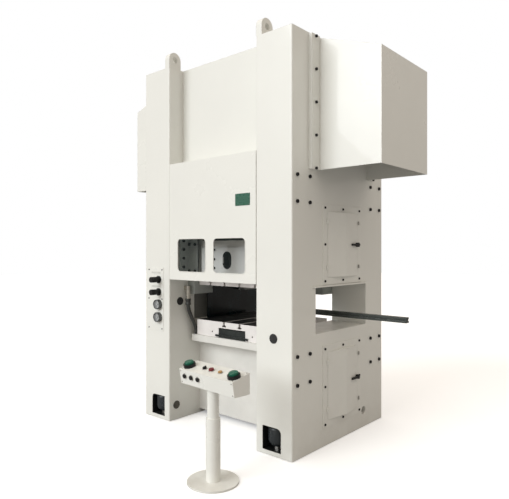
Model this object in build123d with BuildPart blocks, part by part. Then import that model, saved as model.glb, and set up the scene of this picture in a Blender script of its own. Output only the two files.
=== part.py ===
from build123d import *

import os
from math import asin, atan2, cos, radians, sin

# A straight-sided mechanical punch press with its free-standing two-hand console.
# Millimetres. X runs to the operator's right, Y to the rear and Z up.
# The origin is on the floor, midway between the four feet of the press.

# Overall frame
frame_width = 1840
frame_depth = 1460
frame_height = 3400
column_width = 370
floor_gap = 3
wall = 40
edge_radius = 12
inner_x = frame_width / 2 - column_width
outer_x = frame_width / 2
front_y = frame_depth / 2

# Tunnel through each column for the strip
tunnel_depth = 820
tunnel_bottom = 956
tunnel_top = 1337
lintel_height = 13
lintel_reach = 22

# Cavities inside each column
cavity_margin = 230
lower_cavity_bottom = 120
diaphragm_below_top = 1170
diaphragm_height = frame_height - diaphragm_below_top
shaft_below_top = 700
shaft_height = frame_height - shaft_below_top

# Lifting lugs
lug_thickness = 62
lug_width = 141
lug_rise = 153
lug_hole_radius = 28

# Feet
pocket_width = 190
pocket_inset = 165
pocket_centre = inner_x + pocket_inset
pocket_floor = 38
pocket_top = 230
pocket_depth = 200
pocket_corner = 40
pad_set_back = 90
pad_y = front_y - pad_set_back
pad_radius = 60
pad_height = 20
pad_recess_gap = 5
stud_radius = 14
stud_gap = 1
stud_top = 150
nut_across = 54
nut_height = 24
isolator_radius = 84
isolator_top_gap = 4
isolator_lower_rounding = 60
isolator_upper_rounding = 24
anchor_inset = 90
anchor_x = inner_x + anchor_inset
anchor_set_back = 170
anchor_y = front_y - anchor_set_back
anchor_radius = 13

# Crown between the columns
crown_set_back = 172
crown_front = front_y - crown_set_back
crown_depth_below_top = 1420
crown_bottom = frame_height - crown_depth_below_top
crown_wall = 50
rod_opening_x = 300
rod_opening_y = 150

# Front and rear covers
cover_bottom = 1365
cover_top = 2465
cover_sheet = 5
cover_side_gap = 2
cover_return = 60
window_centre = 240
window_width = 375
window_bottom = 1447
window_height = 300
window_corner = 35
nameplate_inset = 149
nameplate_x = inner_x - nameplate_inset
nameplate_z = 2071
nameplate_width = 167
nameplate_height = 102
nameplate_thickness = 2
nameplate_corner = 4

# Bed and bolster
bed_front = 341
bed_bottom = 45
bed_wall = 50
bed_rib = 50
ledge_bottom = 751
ledge_top = 815
ledge_side_gap = 30
ledge_half = inner_x - ledge_side_gap
ledge_front = 470
bolster_top = 964
bolster_side_gap = 82
bolster_half = inner_x - bolster_side_gap
bolster_front = 443
slot_neck = 24
slot_neck_depth = 31
slot_head = 48
slot_head_depth = 15
bolster_slots = 2
bolster_slot_pitch = 200
tray_window_half = 172
tray_window_top = 906
tray_window_depth = 543
drop_hole = 120
eye_hole_x = 256
eye_hole_z = 863
eye_hole_radius = 8
eye_hole_depth = 40
tray_gap = 4
tray_wall = 5
tray_height = 82
tray_lip_half = 205
tray_lip_height = 17
tray_lip_rise = 10
tray_lip_thickness = 14

# Slide, its guides and its travel
slide_bottom = 1305
slide_plate_top = 1375
slide_plate_side_gap = 110
slide_plate_half_x = inner_x - slide_plate_side_gap
slide_plate_half_y = 440
slide_slots = 4
slide_slot_pitch = 190
slide_half_x = 340
slide_half_y = 490
slide_top = 1880
ear_inner = 250
ear_outer = 440
ear_top = 1860
ear_bottom = 1400
guide_gap = 0.3
face_plate_thickness = 15
face_plate_top = 1670
face_slot_width = 110
face_slot_height = 165
face_slot_centre = 1552
face_slot_recess = 60
stroke = 30

# Gibs on the columns
gib_width = 90
gib_inner = inner_x - gib_width
gib_front = slide_half_y
gib_rear = 240
gib_bottom = 1215
gib_top = 1800
gib_lip_width = 150
gib_lip_inner = inner_x - gib_lip_width
gib_lip = 10
gib_lip_bottom = 1400
gib_lip_top = 1760
gib_flange = 14
gib_flange_reach = 120
gib_flange_front = gib_front + gib_flange_reach

# Crankshaft, rods and bearings
running_gap = 0.05
seat_gap = 0.1
journal_radius = 80
journal_reach = 62
journal_end = inner_x + journal_reach
end_radius = 60
eccentric_radius = 110
eccentric_width = 100
collar_radius = 95
collar_width = 27
rod_x = 180
rod_width = 92
rod_ring_radius = 165
rod_shank = 110
small_end_radius = 60
small_end_depth = 80
small_end_height = slide_top - small_end_depth
rod_side_gap = 2
rod_clearance = 2
bearing_radius = 150
bearing_flange_radius = 172
bearing_flange = 16
bearing_inset = 52
bearing_start = inner_x - bearing_inset
outer_bearing_flange = 14

# Flywheel, motor and belt in the right hood
flywheel_radius = 310
flywheel_reach = 320
flywheel_start = outer_x + flywheel_reach
flywheel_width = 150
flywheel_rim = 60
flywheel_web = 30
flywheel_hub = 95
shaft_shoulder_radius = 66
nut_radius = 85
nut_width = 20
belt_centres = 425
motor_height = shaft_height + belt_centres
motor_radius = 115
motor_reach = 30
motor_start = outer_x + motor_reach
motor_length = 265
motor_end = motor_start + motor_length
motor_foot_half = 95
motor_foot_inset = 35
motor_foot_start = motor_start + motor_foot_inset
motor_foot_length = 180
motor_foot_end = motor_foot_start + motor_foot_length
motor_foot_height = 45
motor_fin_depth = 8
motor_fin_count = 36
motor_fin_thickness = 5
motor_fin_overrun = 15
terminal_box_inset = 20
terminal_box_length = 120
terminal_box_reach = 165
terminal_box_root = 60
terminal_box_below = 45
terminal_box_above = 60
foot_drop = 120
shelf_top = motor_height - foot_drop
shelf_thickness = 20
shelf_half = 120
shelf_set_back = 15
shelf_end = motor_end - shelf_set_back
bracket_plate = 25
bracket_half = 150
bracket_below_shelf = 115
bracket_above_shelf = 55
motor_shaft_radius = 19
motor_bore_depth = 20
pulley_radius = 70
belt_width = 90
belt_thickness = 5
belt_gap = 0.3
pulley_width = 100

# Brake in the left hood
disc_radius = 200
disc_thickness = 16
disc_reach = 272
disc_centre = outer_x + disc_reach
brake_hub_radius = 95
brake_hub_width = 100
key_fit = 0.02
caliper_gap = 1
caliper_inner = 140
caliper_throat = 215
caliper_outer = 330
caliper_half = 60
caliper_foot_half = 120
caliper_arm_inset = 20
caliper_jaw = 28

# Hoods
hood_reach = 587
hood_front = 400
hood_rear = 430
hood_height = 1090
hood_below_top = 10
hood_roof_drop = 202
hood_top_inner = frame_height - hood_below_top
hood_bottom = hood_top_inner - hood_height
hood_top_outer = hood_top_inner - hood_roof_drop
hood_sheet = 4
flange_width = 113
flange_thickness = 35

# Doors on the right column
door_sheet = 3
door_frame_sheet = 6
door_front_edge = 240
door_rear_edge = 248
door_ridge = 36
door_ridge_y = 8
door_gap = 1
door_overlap = 12
door_frame_half = 310
door_frame_margin = 62
door_screw_inset = 30
upper_door_bottom = 1417
upper_door_height = 553
lower_door_bottom = 215
lower_door_height = 570
hinge_y = 252
hinge_out = 8
knuckle_radius = 7
knuckle_length = 20
hinge_pin_radius = 4
hinge_pin_gap = 0.06
hinge_split = 0.3
hinge_inset = 82
hinge_strap = 14
handle_y = 215
handle_length = 107
handle_height = 18
handle_thickness = 12
handle_hub_radius = 20
handle_boss = 9
handle_shaft_radius = 8
handle_standoff = 26
handle_cam_reach = 9
handle_cam_thickness = 6
handle_cam_set_back = 22

# Screws
frame_bolt_set_back = (235, 65)
frame_bolt_z = (585, 810, frame_height - 1370, frame_height - 1160)
hood_bolt_rows = 5
hood_bolt_pitch = 267
hood_bolt_inset = 8
gib_bolt_z = (1480, 1565, 1650, 1735)
gib_lip_bolt_inset = (115, 32)
gib_lip_bolt_z = (1440, 1700)
gib_bolt_reach = 75

# Instrument panel on the left column
panel_inset = 88
panel_width = 238
panel_right = -inner_x - panel_inset
panel_left = panel_right - panel_width
panel_bottom = 858
panel_top = 1475
panel_sheet = 3
panel_screw_inset = 18
panel_screw_z = (880, 1168, 1453)
instrument_inset = 155
instrument_x = -inner_x - instrument_inset
gauge_heights = (1116, 992)
gauge_radius = 47.5
gauge_depth = 32
gauge_recess_radius = 42
gauge_dial_depth = 10
lens_thickness = 3
lens_set_back = 2
lens_gap = 0.1
needle_length = 34
needle_tail = 8
needle_width = 3
needle_thickness = 2
needle_angle = 45
needle_hub = 5
needle_pin = 1.5
needle_pin_gap = 0.06
needle_stand = 3
regulator_heights = (1358, 1237)
regulator_flange_radius = 36
regulator_flange = 12
regulator_neck_radius = 20
regulator_neck = 30
spindle_radius = 8
spindle_length = 26
spindle_gap = 0.06
knob_radius = 27.5
knob_length = 58
knob_flutes = 16
knob_flute_radius = 3
knob_face_gap = 0.3

# Plugs
plug_radius = 37
plug_head = 39
plug_head_thickness = 4
plug_depth = 20
plug_gap = 0.2
right_plug_x = inner_x + column_width / 2
right_plug_z = 940
wall_plug_places = ((133, 1147), (88, 145))
cable_hole_y = 370
cable_hole_z = 155
cable_hole_radius = 36

# Outfeed rail, side guard and hose
rail_overlap = 250
rail_start = inner_x - rail_overlap
rail_overhang = 606
rail_end = outer_x + rail_overhang
rail_width = 50
rail_bottom = 1060
rail_height = 45
rail_groove = 10
rail_groove_height = 12
rail_post_inset = 10
rail_post_width = 60
guard_sheet = 6
guard_gib_gap = 2
guard_front = 230
guard_rear = 560
guard_lap = 16
guard_head_lap = 8
tunnel_panel_inset = 44
tunnel_panel_rear = 150
tunnel_panel_gap = 0.5
hose_radius = 19
hose_from_wall = 50
hose_x = -inner_x + hose_from_wall
hose_set_back = 195
hose_y = -front_y + hose_set_back
hose_top = 1110
hose_foot_shift = 6
hose_foot_inset = 40
ferrule_radius = 27
ferrule_length = 60
fitting_radius = 21
fitting_length = 125
fitting_lug_height = 40
fitting_lug_width = 20

# Console on its pedestal
console_x = 695
console_y = -1360
console_turn = -3.9
console_half = 290
console_depth = 160
console_front_bottom_set_back = 19
console_bottom = 662
console_front_top = 771
console_rear_top = 809
console_sheet = 3
base_radius = 186
base_thickness = 13
lower_tube_radius = 52
lower_tube_top = 455
upper_tube_radius = 43
tube_wall = 4
cable_throat = 34
palm_u = 242
palm_s = 62
small_s = 76
shroud_radius = 46
shroud_inner = 37
shroud_height = 24
palm_cap_radius = 35
palm_cap_bottom = 14
palm_cap_top = 42
palm_stem_radius = 10
stem_gap = 0.06
stem_below = 14
palm_cap_rounding = 8
red_u = -10
red_radius = 19
yellow_u = 84
yellow_radius = 15
small_stem_radius = 7
small_cap_bottom = 4
red_cap_top = 17
yellow_cap_top = 13
selector_u = -85
selector_radius = 11
selector_top = 15
selector_bar_width = 8
selector_bar_length = 30
selector_bar_top = 20
front_button_u = (-232, -157, -82)
front_button_drop = 47
front_button_radius = 16
front_button_top = 12

# Places that several pieces share
cavity_x = (inner_x + wall, outer_x - wall)
throw = stroke / 2
doors = {
    "upper": (upper_door_bottom, upper_door_height),
    "lower": (lower_door_bottom, lower_door_height),
}
frame_face = outer_x + door_frame_sheet
panel_face = front_y + panel_sheet
hinge_x = frame_face + hinge_out
door_opening_y = (door_overlap - door_front_edge, door_rear_edge - door_overlap)

os.makedirs("parts", exist_ok=True)


def block(x, y, z, mode=Mode.ADD):
    """A block that reaches from the first to the second of each pair."""
    centre = ((x[0] + x[1]) / 2, (y[0] + y[1]) / 2, (z[0] + z[1]) / 2)
    with Locations(centre):
        Box(abs(x[1] - x[0]), abs(y[1] - y[0]), abs(z[1] - z[0]), mode=mode)


def rod_along_x(x, y, z, radius, mode=Mode.ADD):
    """A cylinder along X between two X values."""
    with Locations(Location(((x[0] + x[1]) / 2, y, z), (0, 90, 0))):
        Cylinder(radius, abs(x[1] - x[0]), mode=mode)


def rod_along_y(x, y, z, radius, mode=Mode.ADD):
    """A cylinder along Y between two Y values."""
    with Locations(Location((x, (y[0] + y[1]) / 2, z), (90, 0, 0))):
        Cylinder(radius, abs(y[1] - y[0]), mode=mode)


def rod_along_z(x, y, z, radius, mode=Mode.ADD):
    """A cylinder along Z between two Z values."""
    with Locations((x, y, (z[0] + z[1]) / 2)):
        Cylinder(radius, abs(z[1] - z[0]), mode=mode)


def save(piece, name):
    """Label a finished piece and write it."""
    piece.part.label = name
    export_step(piece.part, f"parts/{name}.step")


# Where the screws stand: a place on the seat, the way the head points and the sizes
# of head radius, head height, shank radius and shank length.
frame_bolt = (15, 12, 10, 32)
hood_bolt = (12, 12, 8, 60)
door_screw = (10, 7, 5, 30)
panel_screw = (6, 4, 3, 18)
gib_bolt = (14, 12, 8, 34)
lip_bolt = (14, 12, 8, 24)
screws = []
for side in (1, -1):
    for set_back in frame_bolt_set_back:
        for end in (1, -1):
            for row_z in frame_bolt_z:
                seat = (side * outer_x, end * (front_y - set_back), row_z)
                screws.append((seat, (side, 0, 0), frame_bolt))
    for row_y in (-hood_front - flange_width / 2, hood_rear + flange_width / 2):
        for step in range(hood_bolt_rows):
            height = hood_bottom + hood_bolt_inset + step * hood_bolt_pitch
            seat = (side * (outer_x + flange_thickness), row_y, height)
            screws.append((seat, (side, 0, 0), hood_bolt))
    for bottom, height in doors.values():
        rows = (bottom - door_frame_margin + door_screw_inset, bottom + height / 2,
                bottom + height + door_frame_margin - door_screw_inset)
        for row_z in rows:
            for row_y in (door_screw_inset - door_frame_half, 0,
                          door_frame_half - door_screw_inset):
                if row_y != 0 or row_z != rows[1]:
                    screws.append(((side * frame_face, row_y, row_z), (side, 0, 0), door_screw))
    for end in (1, -1):
        for row_z in gib_bolt_z:
            seat = (side * (inner_x - gib_flange), end * (gib_front + gib_bolt_reach), row_z)
            screws.append((seat, (-side, 0, 0), gib_bolt))
        for row_z in gib_lip_bolt_z:
            for inset in gib_lip_bolt_inset:
                seat = (side * (inner_x - inset), end * (gib_front + gib_lip), row_z)
                screws.append((seat, (0, end, 0), lip_bolt))
for row_x in (panel_left + panel_screw_inset, panel_right - panel_screw_inset):
    for row_z in panel_screw_z:
        screws.append(((row_x, -panel_face, row_z), (0, -1, 0), panel_screw))

screw_gap = 0.1
socket_share = 0.55


def drill(chosen):
    """Cut the clearance holes of the chosen screws."""
    for sizes in {screw[2] for screw in chosen}:
        seats = [Plane(origin=seat, z_dir=way).location for seat, way, size in chosen if size == sizes]
        with Locations(*seats):
            Cylinder(
                sizes[2] + screw_gap,
                sizes[3] + screw_gap,
                align=(Align.CENTER, Align.CENTER, Align.MAX),
                mode=Mode.SUBTRACT,
            )


def screws_where(test):
    """The screws whose seat, way and sizes pass a test."""
    return [screw for screw in screws if test(*screw)]


# Columns: hollow welded boxes with the strip tunnel, shaft bores and foot pockets
for side, column_name in ((1, "right_column"), (-1, "left_column")):
    with BuildPart() as column:
        block((side * inner_x, side * outer_x), (-front_y, front_y), (floor_gap, frame_height))
        upright = column.edges().filter_by(Axis.Z)
        fillet(upright, edge_radius)
        for end in (1, -1):
            lug_y = end * (front_y - lug_width / 2)
            lug_x = (side * inner_x, side * (inner_x + lug_thickness))
            lug_centre = frame_height + lug_rise - lug_width / 2
            block(lug_x, (lug_y - lug_width / 2, lug_y + lug_width / 2), (frame_height, lug_centre))
            rod_along_x(lug_x, lug_y, lug_centre, lug_width / 2)
            rod_along_x(lug_x, lug_y, lug_centre, lug_hole_radius, Mode.SUBTRACT)
        block((side * inner_x, side * outer_x), (-tunnel_depth / 2, tunnel_depth / 2),
              (tunnel_bottom, tunnel_top), Mode.SUBTRACT)
        cavity = (side * cavity_x[0], side * cavity_x[1])
        lower_y = front_y - cavity_margin
        block(cavity, (-lower_y, lower_y), (lower_cavity_bottom, tunnel_bottom - wall),
              Mode.SUBTRACT)
        upper_y = front_y - wall
        block(cavity, (-upper_y, upper_y), (tunnel_top + wall, diaphragm_height), Mode.SUBTRACT)
        for end in (1, -1):
            block(cavity, (end * (tunnel_depth / 2 + wall), end * upper_y),
                  (tunnel_bottom - wall, tunnel_top + wall), Mode.SUBTRACT)
        block(cavity, (-upper_y, upper_y), (diaphragm_height + wall, frame_height - wall),
              Mode.SUBTRACT)
        rod_along_x((side * inner_x, side * outer_x), 0, shaft_height, bearing_radius,
                    Mode.SUBTRACT)
        for bottom, height in doors.values():
            block((side * cavity_x[1], side * outer_x), door_opening_y,
                  (bottom + door_overlap, bottom + height - door_overlap), Mode.SUBTRACT)
        for end in (1, -1):
            with BuildSketch(Plane.XZ.offset(-end * front_y)) as pocket:
                with Locations((side * pocket_centre, (pocket_floor + pocket_top) / 2)):
                    Rectangle(pocket_width, pocket_top - pocket_floor)
                outer_corners = pocket.vertices().group_by(Axis.X)[-1 if side > 0 else 0]
                fillet(outer_corners.sort_by(Axis.Y)[-1], pocket_corner)
            extrude(amount=end * pocket_depth, mode=Mode.SUBTRACT)
            rod_along_z(side * pocket_centre, end * pad_y, (floor_gap, pad_height),
                        pad_radius + pad_recess_gap, Mode.SUBTRACT)
            rod_along_z(side * pocket_centre, end * pad_y, (pad_height, pocket_floor),
                        stud_radius + stud_gap, Mode.SUBTRACT)
            rod_along_z(side * anchor_x, end * anchor_y, (floor_gap, pocket_floor),
                        anchor_radius, Mode.SUBTRACT)
        lintel_y = tunnel_depth / 2
        block((side * outer_x, side * (outer_x + lintel_reach)), (-lintel_y - wall, lintel_y),
              (tunnel_top, tunnel_top + lintel_height))
        drill(screws_where(lambda seat, way, size: seat[0] * side > 0 and size != lip_bolt))
        if side > 0:
            rod_along_y(right_plug_x, (-front_y, -front_y + plug_depth), right_plug_z,
                        plug_radius, Mode.SUBTRACT)
            rod_along_x(cavity_x[1:] + (outer_x,), cable_hole_y, cable_hole_z,
                        cable_hole_radius, Mode.SUBTRACT)
        else:
            for set_back, plug_z in wall_plug_places:
                plug_y = -front_y + set_back
                rod_along_x((-inner_x, -inner_x - plug_depth), plug_y, plug_z, plug_radius,
                            Mode.SUBTRACT)
    save(column, column_name)

# Crown: the box between the columns that carries the crankshaft
crown_y = (-crown_front, crown_front)
with BuildPart() as crown:
    block((-inner_x, inner_x), crown_y, (crown_bottom, frame_height))
    block((-inner_x + crown_wall, inner_x - crown_wall),
          (-crown_front + crown_wall, crown_front - crown_wall),
          (crown_bottom + crown_wall, frame_height - crown_wall), Mode.SUBTRACT)
    block((-rod_opening_x, rod_opening_x), (-rod_opening_y, rod_opening_y),
          (crown_bottom, crown_bottom + crown_wall), Mode.SUBTRACT)
    rod_along_x((-inner_x, inner_x), 0, shaft_height, bearing_radius, Mode.SUBTRACT)
save(crown, "crown")

# Front and rear covers: folded sheet trays, flush with the columns
cover_half = inner_x - cover_side_gap
for end, cover_name in ((-1, "front_cover"), (1, "rear_cover")):
    with BuildPart() as cover:
        block((-cover_half, cover_half), (end * crown_front, end * front_y),
              (cover_bottom, cover_top))
        block((-cover_half + cover_sheet, cover_half - cover_sheet),
              (end * crown_front, end * (front_y - cover_sheet)),
              (cover_bottom, cover_top - cover_sheet), Mode.SUBTRACT)
        block((-cover_half, cover_half), (end * crown_front, end * (front_y - cover_return)),
              (cover_bottom, cover_top - cover_sheet), Mode.SUBTRACT)
        if end < 0:
            with BuildSketch(Plane.XZ.offset(front_y)):
                with Locations(
                    (-window_centre, window_bottom + window_height / 2),
                    (window_centre, window_bottom + window_height / 2),
                ):
                    RectangleRounded(window_width, window_height, window_corner)
            extrude(amount=-cover_sheet, mode=Mode.SUBTRACT)
    save(cover, cover_name)

# Plain coloured plate on the front cover
with BuildPart() as nameplate:
    with BuildSketch(Plane.XZ.offset(front_y)):
        with Locations((nameplate_x, nameplate_z)):
            RectangleRounded(nameplate_width, nameplate_height, nameplate_corner)
    extrude(amount=nameplate_thickness)
save(nameplate, "nameplate")

# Bed: a hollow box between the columns with the bolster ledge on top
with BuildPart() as bed:
    block((-inner_x, inner_x), (-bed_front, bed_front), (bed_bottom, ledge_bottom))
    block((-ledge_half, ledge_half), (-ledge_front, ledge_front), (ledge_bottom, ledge_top))
    for end in (1, -1):
        block((end * bed_rib / 2, end * (inner_x - bed_wall)),
              (-bed_front + bed_wall, bed_front - bed_wall),
              (bed_bottom, ledge_bottom - bed_wall), Mode.SUBTRACT)
save(bed, "bed")


def t_slots(count, pitch, face, way, half_length):
    """Cut T-slots along Y into a face at the given height; way is 1 for a top face."""
    neck = (face, face - way * slot_neck_depth)
    head = (neck[1], neck[1] - way * slot_head_depth)
    for step in range(count):
        x = (step - (count - 1) / 2) * pitch
        block((x - slot_neck / 2, x + slot_neck / 2), (-half_length, half_length), neck,
              Mode.SUBTRACT)
        block((x - slot_head / 2, x + slot_head / 2), (-half_length, half_length), head,
              Mode.SUBTRACT)


# Bolster: the die-mounting table, with T-slots, a drop hole and the tray window
with BuildPart() as bolster:
    block((-bolster_half, bolster_half), (-bolster_front, bolster_front),
          (ledge_top, bolster_top))
    t_slots(bolster_slots, bolster_slot_pitch, bolster_top, 1, bolster_front)
    block((-tray_window_half, tray_window_half),
          (-bolster_front, -bolster_front + tray_window_depth), (ledge_top, tray_window_top),
          Mode.SUBTRACT)
    block((-drop_hole / 2, drop_hole / 2), (-drop_hole / 2, drop_hole / 2),
          (tray_window_top, bolster_top), Mode.SUBTRACT)
    for eye_x in (-eye_hole_x, eye_hole_x):
        rod_along_y(eye_x, (-bolster_front, -bolster_front + eye_hole_depth), eye_hole_z,
                    eye_hole_radius, Mode.SUBTRACT)
save(bolster, "bolster")

# Scrap tray: slides into the bolster's window; its lip lies across the front
with BuildPart() as scrap_tray:
    tray_half = tray_window_half - tray_gap
    tray_y = (-bolster_front, -bolster_front + tray_window_depth - tray_gap)
    block((-tray_half, tray_half), tray_y, (ledge_top, ledge_top + tray_height))
    block((-tray_half + tray_wall, tray_half - tray_wall),
          (tray_y[0] + tray_wall, tray_y[1] - tray_wall),
          (ledge_top + tray_wall, ledge_top + tray_height), Mode.SUBTRACT)
    lip_z = ledge_top + tray_lip_rise
    block((-tray_lip_half, tray_lip_half),
          (-bolster_front - tray_lip_thickness, -bolster_front), (lip_z, lip_z + tray_lip_height))
save(scrap_tray, "scrap_tray")

# Gibs: four L-shaped guides, each with a flange on the column and a lip in front
with BuildPart() as gib_blocks:
    for side in (1, -1):
        for end in (1, -1):
            block((side * gib_inner, side * inner_x), (end * gib_rear, end * gib_front),
                  (gib_bottom, gib_top))
            block((side * (inner_x - gib_flange), side * inner_x),
                  (end * gib_front, end * gib_flange_front), (gib_lip_bottom, gib_lip_top))
            block((side * gib_lip_inner, side * inner_x),
                  (end * gib_front, end * (gib_front + gib_lip)), (gib_lip_bottom, gib_lip_top))
    drill(screws_where(lambda seat, way, size: size in (gib_bolt, lip_bolt)))
save(gib_blocks, "gib_blocks")

# Slide: the moving ram between the gibs, with a pocket for the foot of each rod
rod_pocket_half = small_end_radius + throw + rod_clearance
rod_pocket_bottom = small_end_height - small_end_radius - stroke - rod_clearance
ear_reach = gib_inner - guide_gap
with BuildPart() as slide:
    block((-slide_half_x, slide_half_x), (-slide_half_y, slide_half_y),
          (slide_plate_top, slide_top))
    for end in (1, -1):
        block((-ear_reach, ear_reach), (end * ear_inner, end * ear_outer), (ear_bottom, ear_top))
        pocket_half = rod_width / 2 + rod_side_gap
        block((end * rod_x - pocket_half, end * rod_x + pocket_half),
              (-rod_pocket_half, rod_pocket_half), (rod_pocket_bottom, slide_top), Mode.SUBTRACT)
    with BuildSketch(Plane.XZ.offset(slide_half_y)):
        with Locations((0, face_slot_centre)):
            SlotOverall(face_slot_height, face_slot_width, rotation=90)
    extrude(amount=-face_slot_recess, mode=Mode.SUBTRACT)
save(slide, "slide")

# Face plate bolted to the front of the slide, with its long round-ended slot
with BuildPart() as slide_face_plate:
    block((-slide_half_x, slide_half_x), (-slide_half_y - face_plate_thickness, -slide_half_y),
          (slide_plate_top, face_plate_top))
    with BuildSketch(Plane.XZ.offset(slide_half_y + face_plate_thickness)):
        with Locations((0, face_slot_centre)):
            SlotOverall(face_slot_height, face_slot_width, rotation=90)
    extrude(amount=-face_plate_thickness, mode=Mode.SUBTRACT)
save(slide_face_plate, "slide_face_plate")

# Plate with the upper T-slots, under the slide
with BuildPart() as slide_plate:
    block((-slide_plate_half_x, slide_plate_half_x), (-slide_plate_half_y, slide_plate_half_y),
          (slide_bottom, slide_plate_top))
    t_slots(slide_slots, slide_slot_pitch, slide_bottom, -1, slide_plate_half_y)
save(slide_plate, "slide_plate")

# Crankshaft: one forging with two eccentrics, at bottom dead centre
crank_left_end = -disc_centre - brake_hub_width / 2 - nut_width
flywheel_end = flywheel_start + flywheel_width
with BuildPart() as crankshaft:
    rod_along_x((-journal_end, journal_end), 0, shaft_height, journal_radius)
    for side in (1, -1):
        rod_along_x((side * rod_x - eccentric_width / 2, side * rod_x + eccentric_width / 2), 0,
                    shaft_height - throw, eccentric_radius)
        collar_end = bearing_start - guide_gap
        rod_along_x((side * (collar_end - collar_width), side * collar_end), 0, shaft_height,
                    collar_radius)
    rod_along_x((journal_end, flywheel_start - guide_gap), 0, shaft_height, end_radius)
    rod_along_x((outer_x + wall, flywheel_start - guide_gap), 0, shaft_height,
                shaft_shoulder_radius)
    rod_along_x((flywheel_start - guide_gap, flywheel_end + guide_gap), 0, shaft_height,
                end_radius)
    rod_along_x((flywheel_end + guide_gap, flywheel_end + guide_gap + nut_width), 0,
                shaft_height, nut_radius)
    rod_along_x((-journal_end, crank_left_end), 0, shaft_height, end_radius)
save(crankshaft, "crankshaft")

# Connecting rods: each ring runs on its eccentric and its foot hangs in the slide
for side, rod_name in ((1, "right_connecting_rod"), (-1, "left_connecting_rod")):
    rod_span = (side * rod_x - rod_width / 2, side * rod_x + rod_width / 2)
    with BuildPart() as connecting_rod:
        rod_along_x(rod_span, 0, shaft_height - throw, rod_ring_radius)
        block(rod_span, (-rod_shank / 2, rod_shank / 2),
              (small_end_height, shaft_height - eccentric_radius))
        rod_along_x(rod_span, 0, small_end_height, small_end_radius)
        rod_along_x(rod_span, 0, shaft_height - throw, eccentric_radius + running_gap,
                    Mode.SUBTRACT)
    save(connecting_rod, rod_name)

# Bearings: a flanged ring in each inner wall and one in each outer wall
with BuildPart() as shaft_bearings:
    for side in (1, -1):
        ring_end = inner_x + wall
        rod_along_x((side * bearing_start, side * ring_end), 0, shaft_height,
                    bearing_radius - seat_gap)
        rod_along_x((side * ring_end, side * (ring_end + bearing_flange)), 0, shaft_height,
                    bearing_flange_radius)
        rod_along_x((side * (outer_x - wall), side * outer_x), 0, shaft_height,
                    bearing_radius - seat_gap)
        rod_along_x((side * outer_x, side * (outer_x + outer_bearing_flange)), 0, shaft_height,
                    bearing_flange_radius)
    for side in (1, -1):
        rod_along_x((side * bearing_start, side * (ring_end + bearing_flange)), 0, shaft_height,
                    journal_radius + running_gap, Mode.SUBTRACT)
        rod_along_x((side * (outer_x - wall), side * (outer_x + outer_bearing_flange)), 0,
                    shaft_height, end_radius + running_gap, Mode.SUBTRACT)
save(shaft_bearings, "shaft_bearings")

# Flywheel on the right end of the shaft
with BuildPart() as flywheel:
    rod_along_x((flywheel_start, flywheel_end), 0, shaft_height, flywheel_radius)
    web = ((flywheel_start + flywheel_end - flywheel_web) / 2,
           (flywheel_start + flywheel_end + flywheel_web) / 2)
    for span in ((flywheel_start, web[0]), (web[1], flywheel_end)):
        with BuildSketch(Plane.YZ.offset(span[0])):
            with Locations((0, shaft_height)):
                Circle(flywheel_radius - flywheel_rim)
                Circle(flywheel_hub, mode=Mode.SUBTRACT)
        extrude(amount=span[1] - span[0], mode=Mode.SUBTRACT)
    rod_along_x((flywheel_start, flywheel_end), 0, shaft_height, end_radius + running_gap,
                Mode.SUBTRACT)
save(flywheel, "flywheel")

# Motor bracket: a plate on the column with a shelf
with BuildPart() as motor_bracket:
    block((outer_x, outer_x + bracket_plate), (-bracket_half, bracket_half),
          (shelf_top - bracket_below_shelf, shelf_top + bracket_above_shelf))
    block((outer_x + bracket_plate, shelf_end), (-shelf_half, shelf_half),
          (shelf_top - shelf_thickness, shelf_top))
save(motor_bracket, "motor_bracket")

# Drive motor: finned body, feet, terminal box and shaft bore
fins_x = (motor_foot_start - motor_fin_overrun, motor_foot_end + motor_fin_overrun)
with BuildPart() as drive_motor:
    rod_along_x((motor_start, motor_end), 0, motor_height, motor_radius - motor_fin_depth)
    with BuildSketch(Plane.YZ.offset(fins_x[0])):
        with Locations((0, motor_height)):
            with PolarLocations(motor_radius - motor_fin_depth, motor_fin_count):
                Rectangle(motor_fin_depth * 2, motor_fin_thickness)
    extrude(amount=fins_x[1] - fins_x[0])
    rod_along_x((motor_start, fins_x[0]), 0, motor_height, motor_radius)
    rod_along_x((fins_x[1], motor_end), 0, motor_height, motor_radius)
    block((motor_foot_start, motor_foot_end), (-motor_foot_half, motor_foot_half),
          (shelf_top, shelf_top + motor_foot_height))
    block((motor_foot_start + terminal_box_inset,
           motor_foot_start + terminal_box_inset + terminal_box_length),
          (-terminal_box_reach, -terminal_box_root),
          (motor_height - terminal_box_below, motor_height + terminal_box_above))
    rod_along_x((motor_end - motor_bore_depth, motor_end), 0, motor_height,
                motor_shaft_radius + running_gap, Mode.SUBTRACT)
save(drive_motor, "drive_motor")

# Motor shaft with its pulley
belt_start = flywheel_start + (flywheel_width - belt_width) / 2
with BuildPart() as motor_pulley:
    pulley_start = belt_start - (pulley_width - belt_width) / 2
    rod_along_x((motor_end - motor_bore_depth + guide_gap,
                 pulley_start + pulley_width + nut_width), 0, motor_height, motor_shaft_radius)
    rod_along_x((pulley_start, pulley_start + pulley_width), 0, motor_height, pulley_radius)
save(motor_pulley, "motor_pulley")


def belt_outline(extra):
    """The loop around both pulleys, with a distance added to their radii."""
    low, high = flywheel_radius + extra, pulley_radius + extra
    lean = asin((low - high) / (motor_height - shaft_height))
    with Locations((0, shaft_height)):
        Circle(low)
    with Locations((0, motor_height)):
        Circle(high)
    corners = [(low * cos(lean), shaft_height + low * sin(lean)),
               (high * cos(lean), motor_height + high * sin(lean))]
    Polygon(*corners, *[(-y, z) for y, z in reversed(corners)], align=None)


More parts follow.
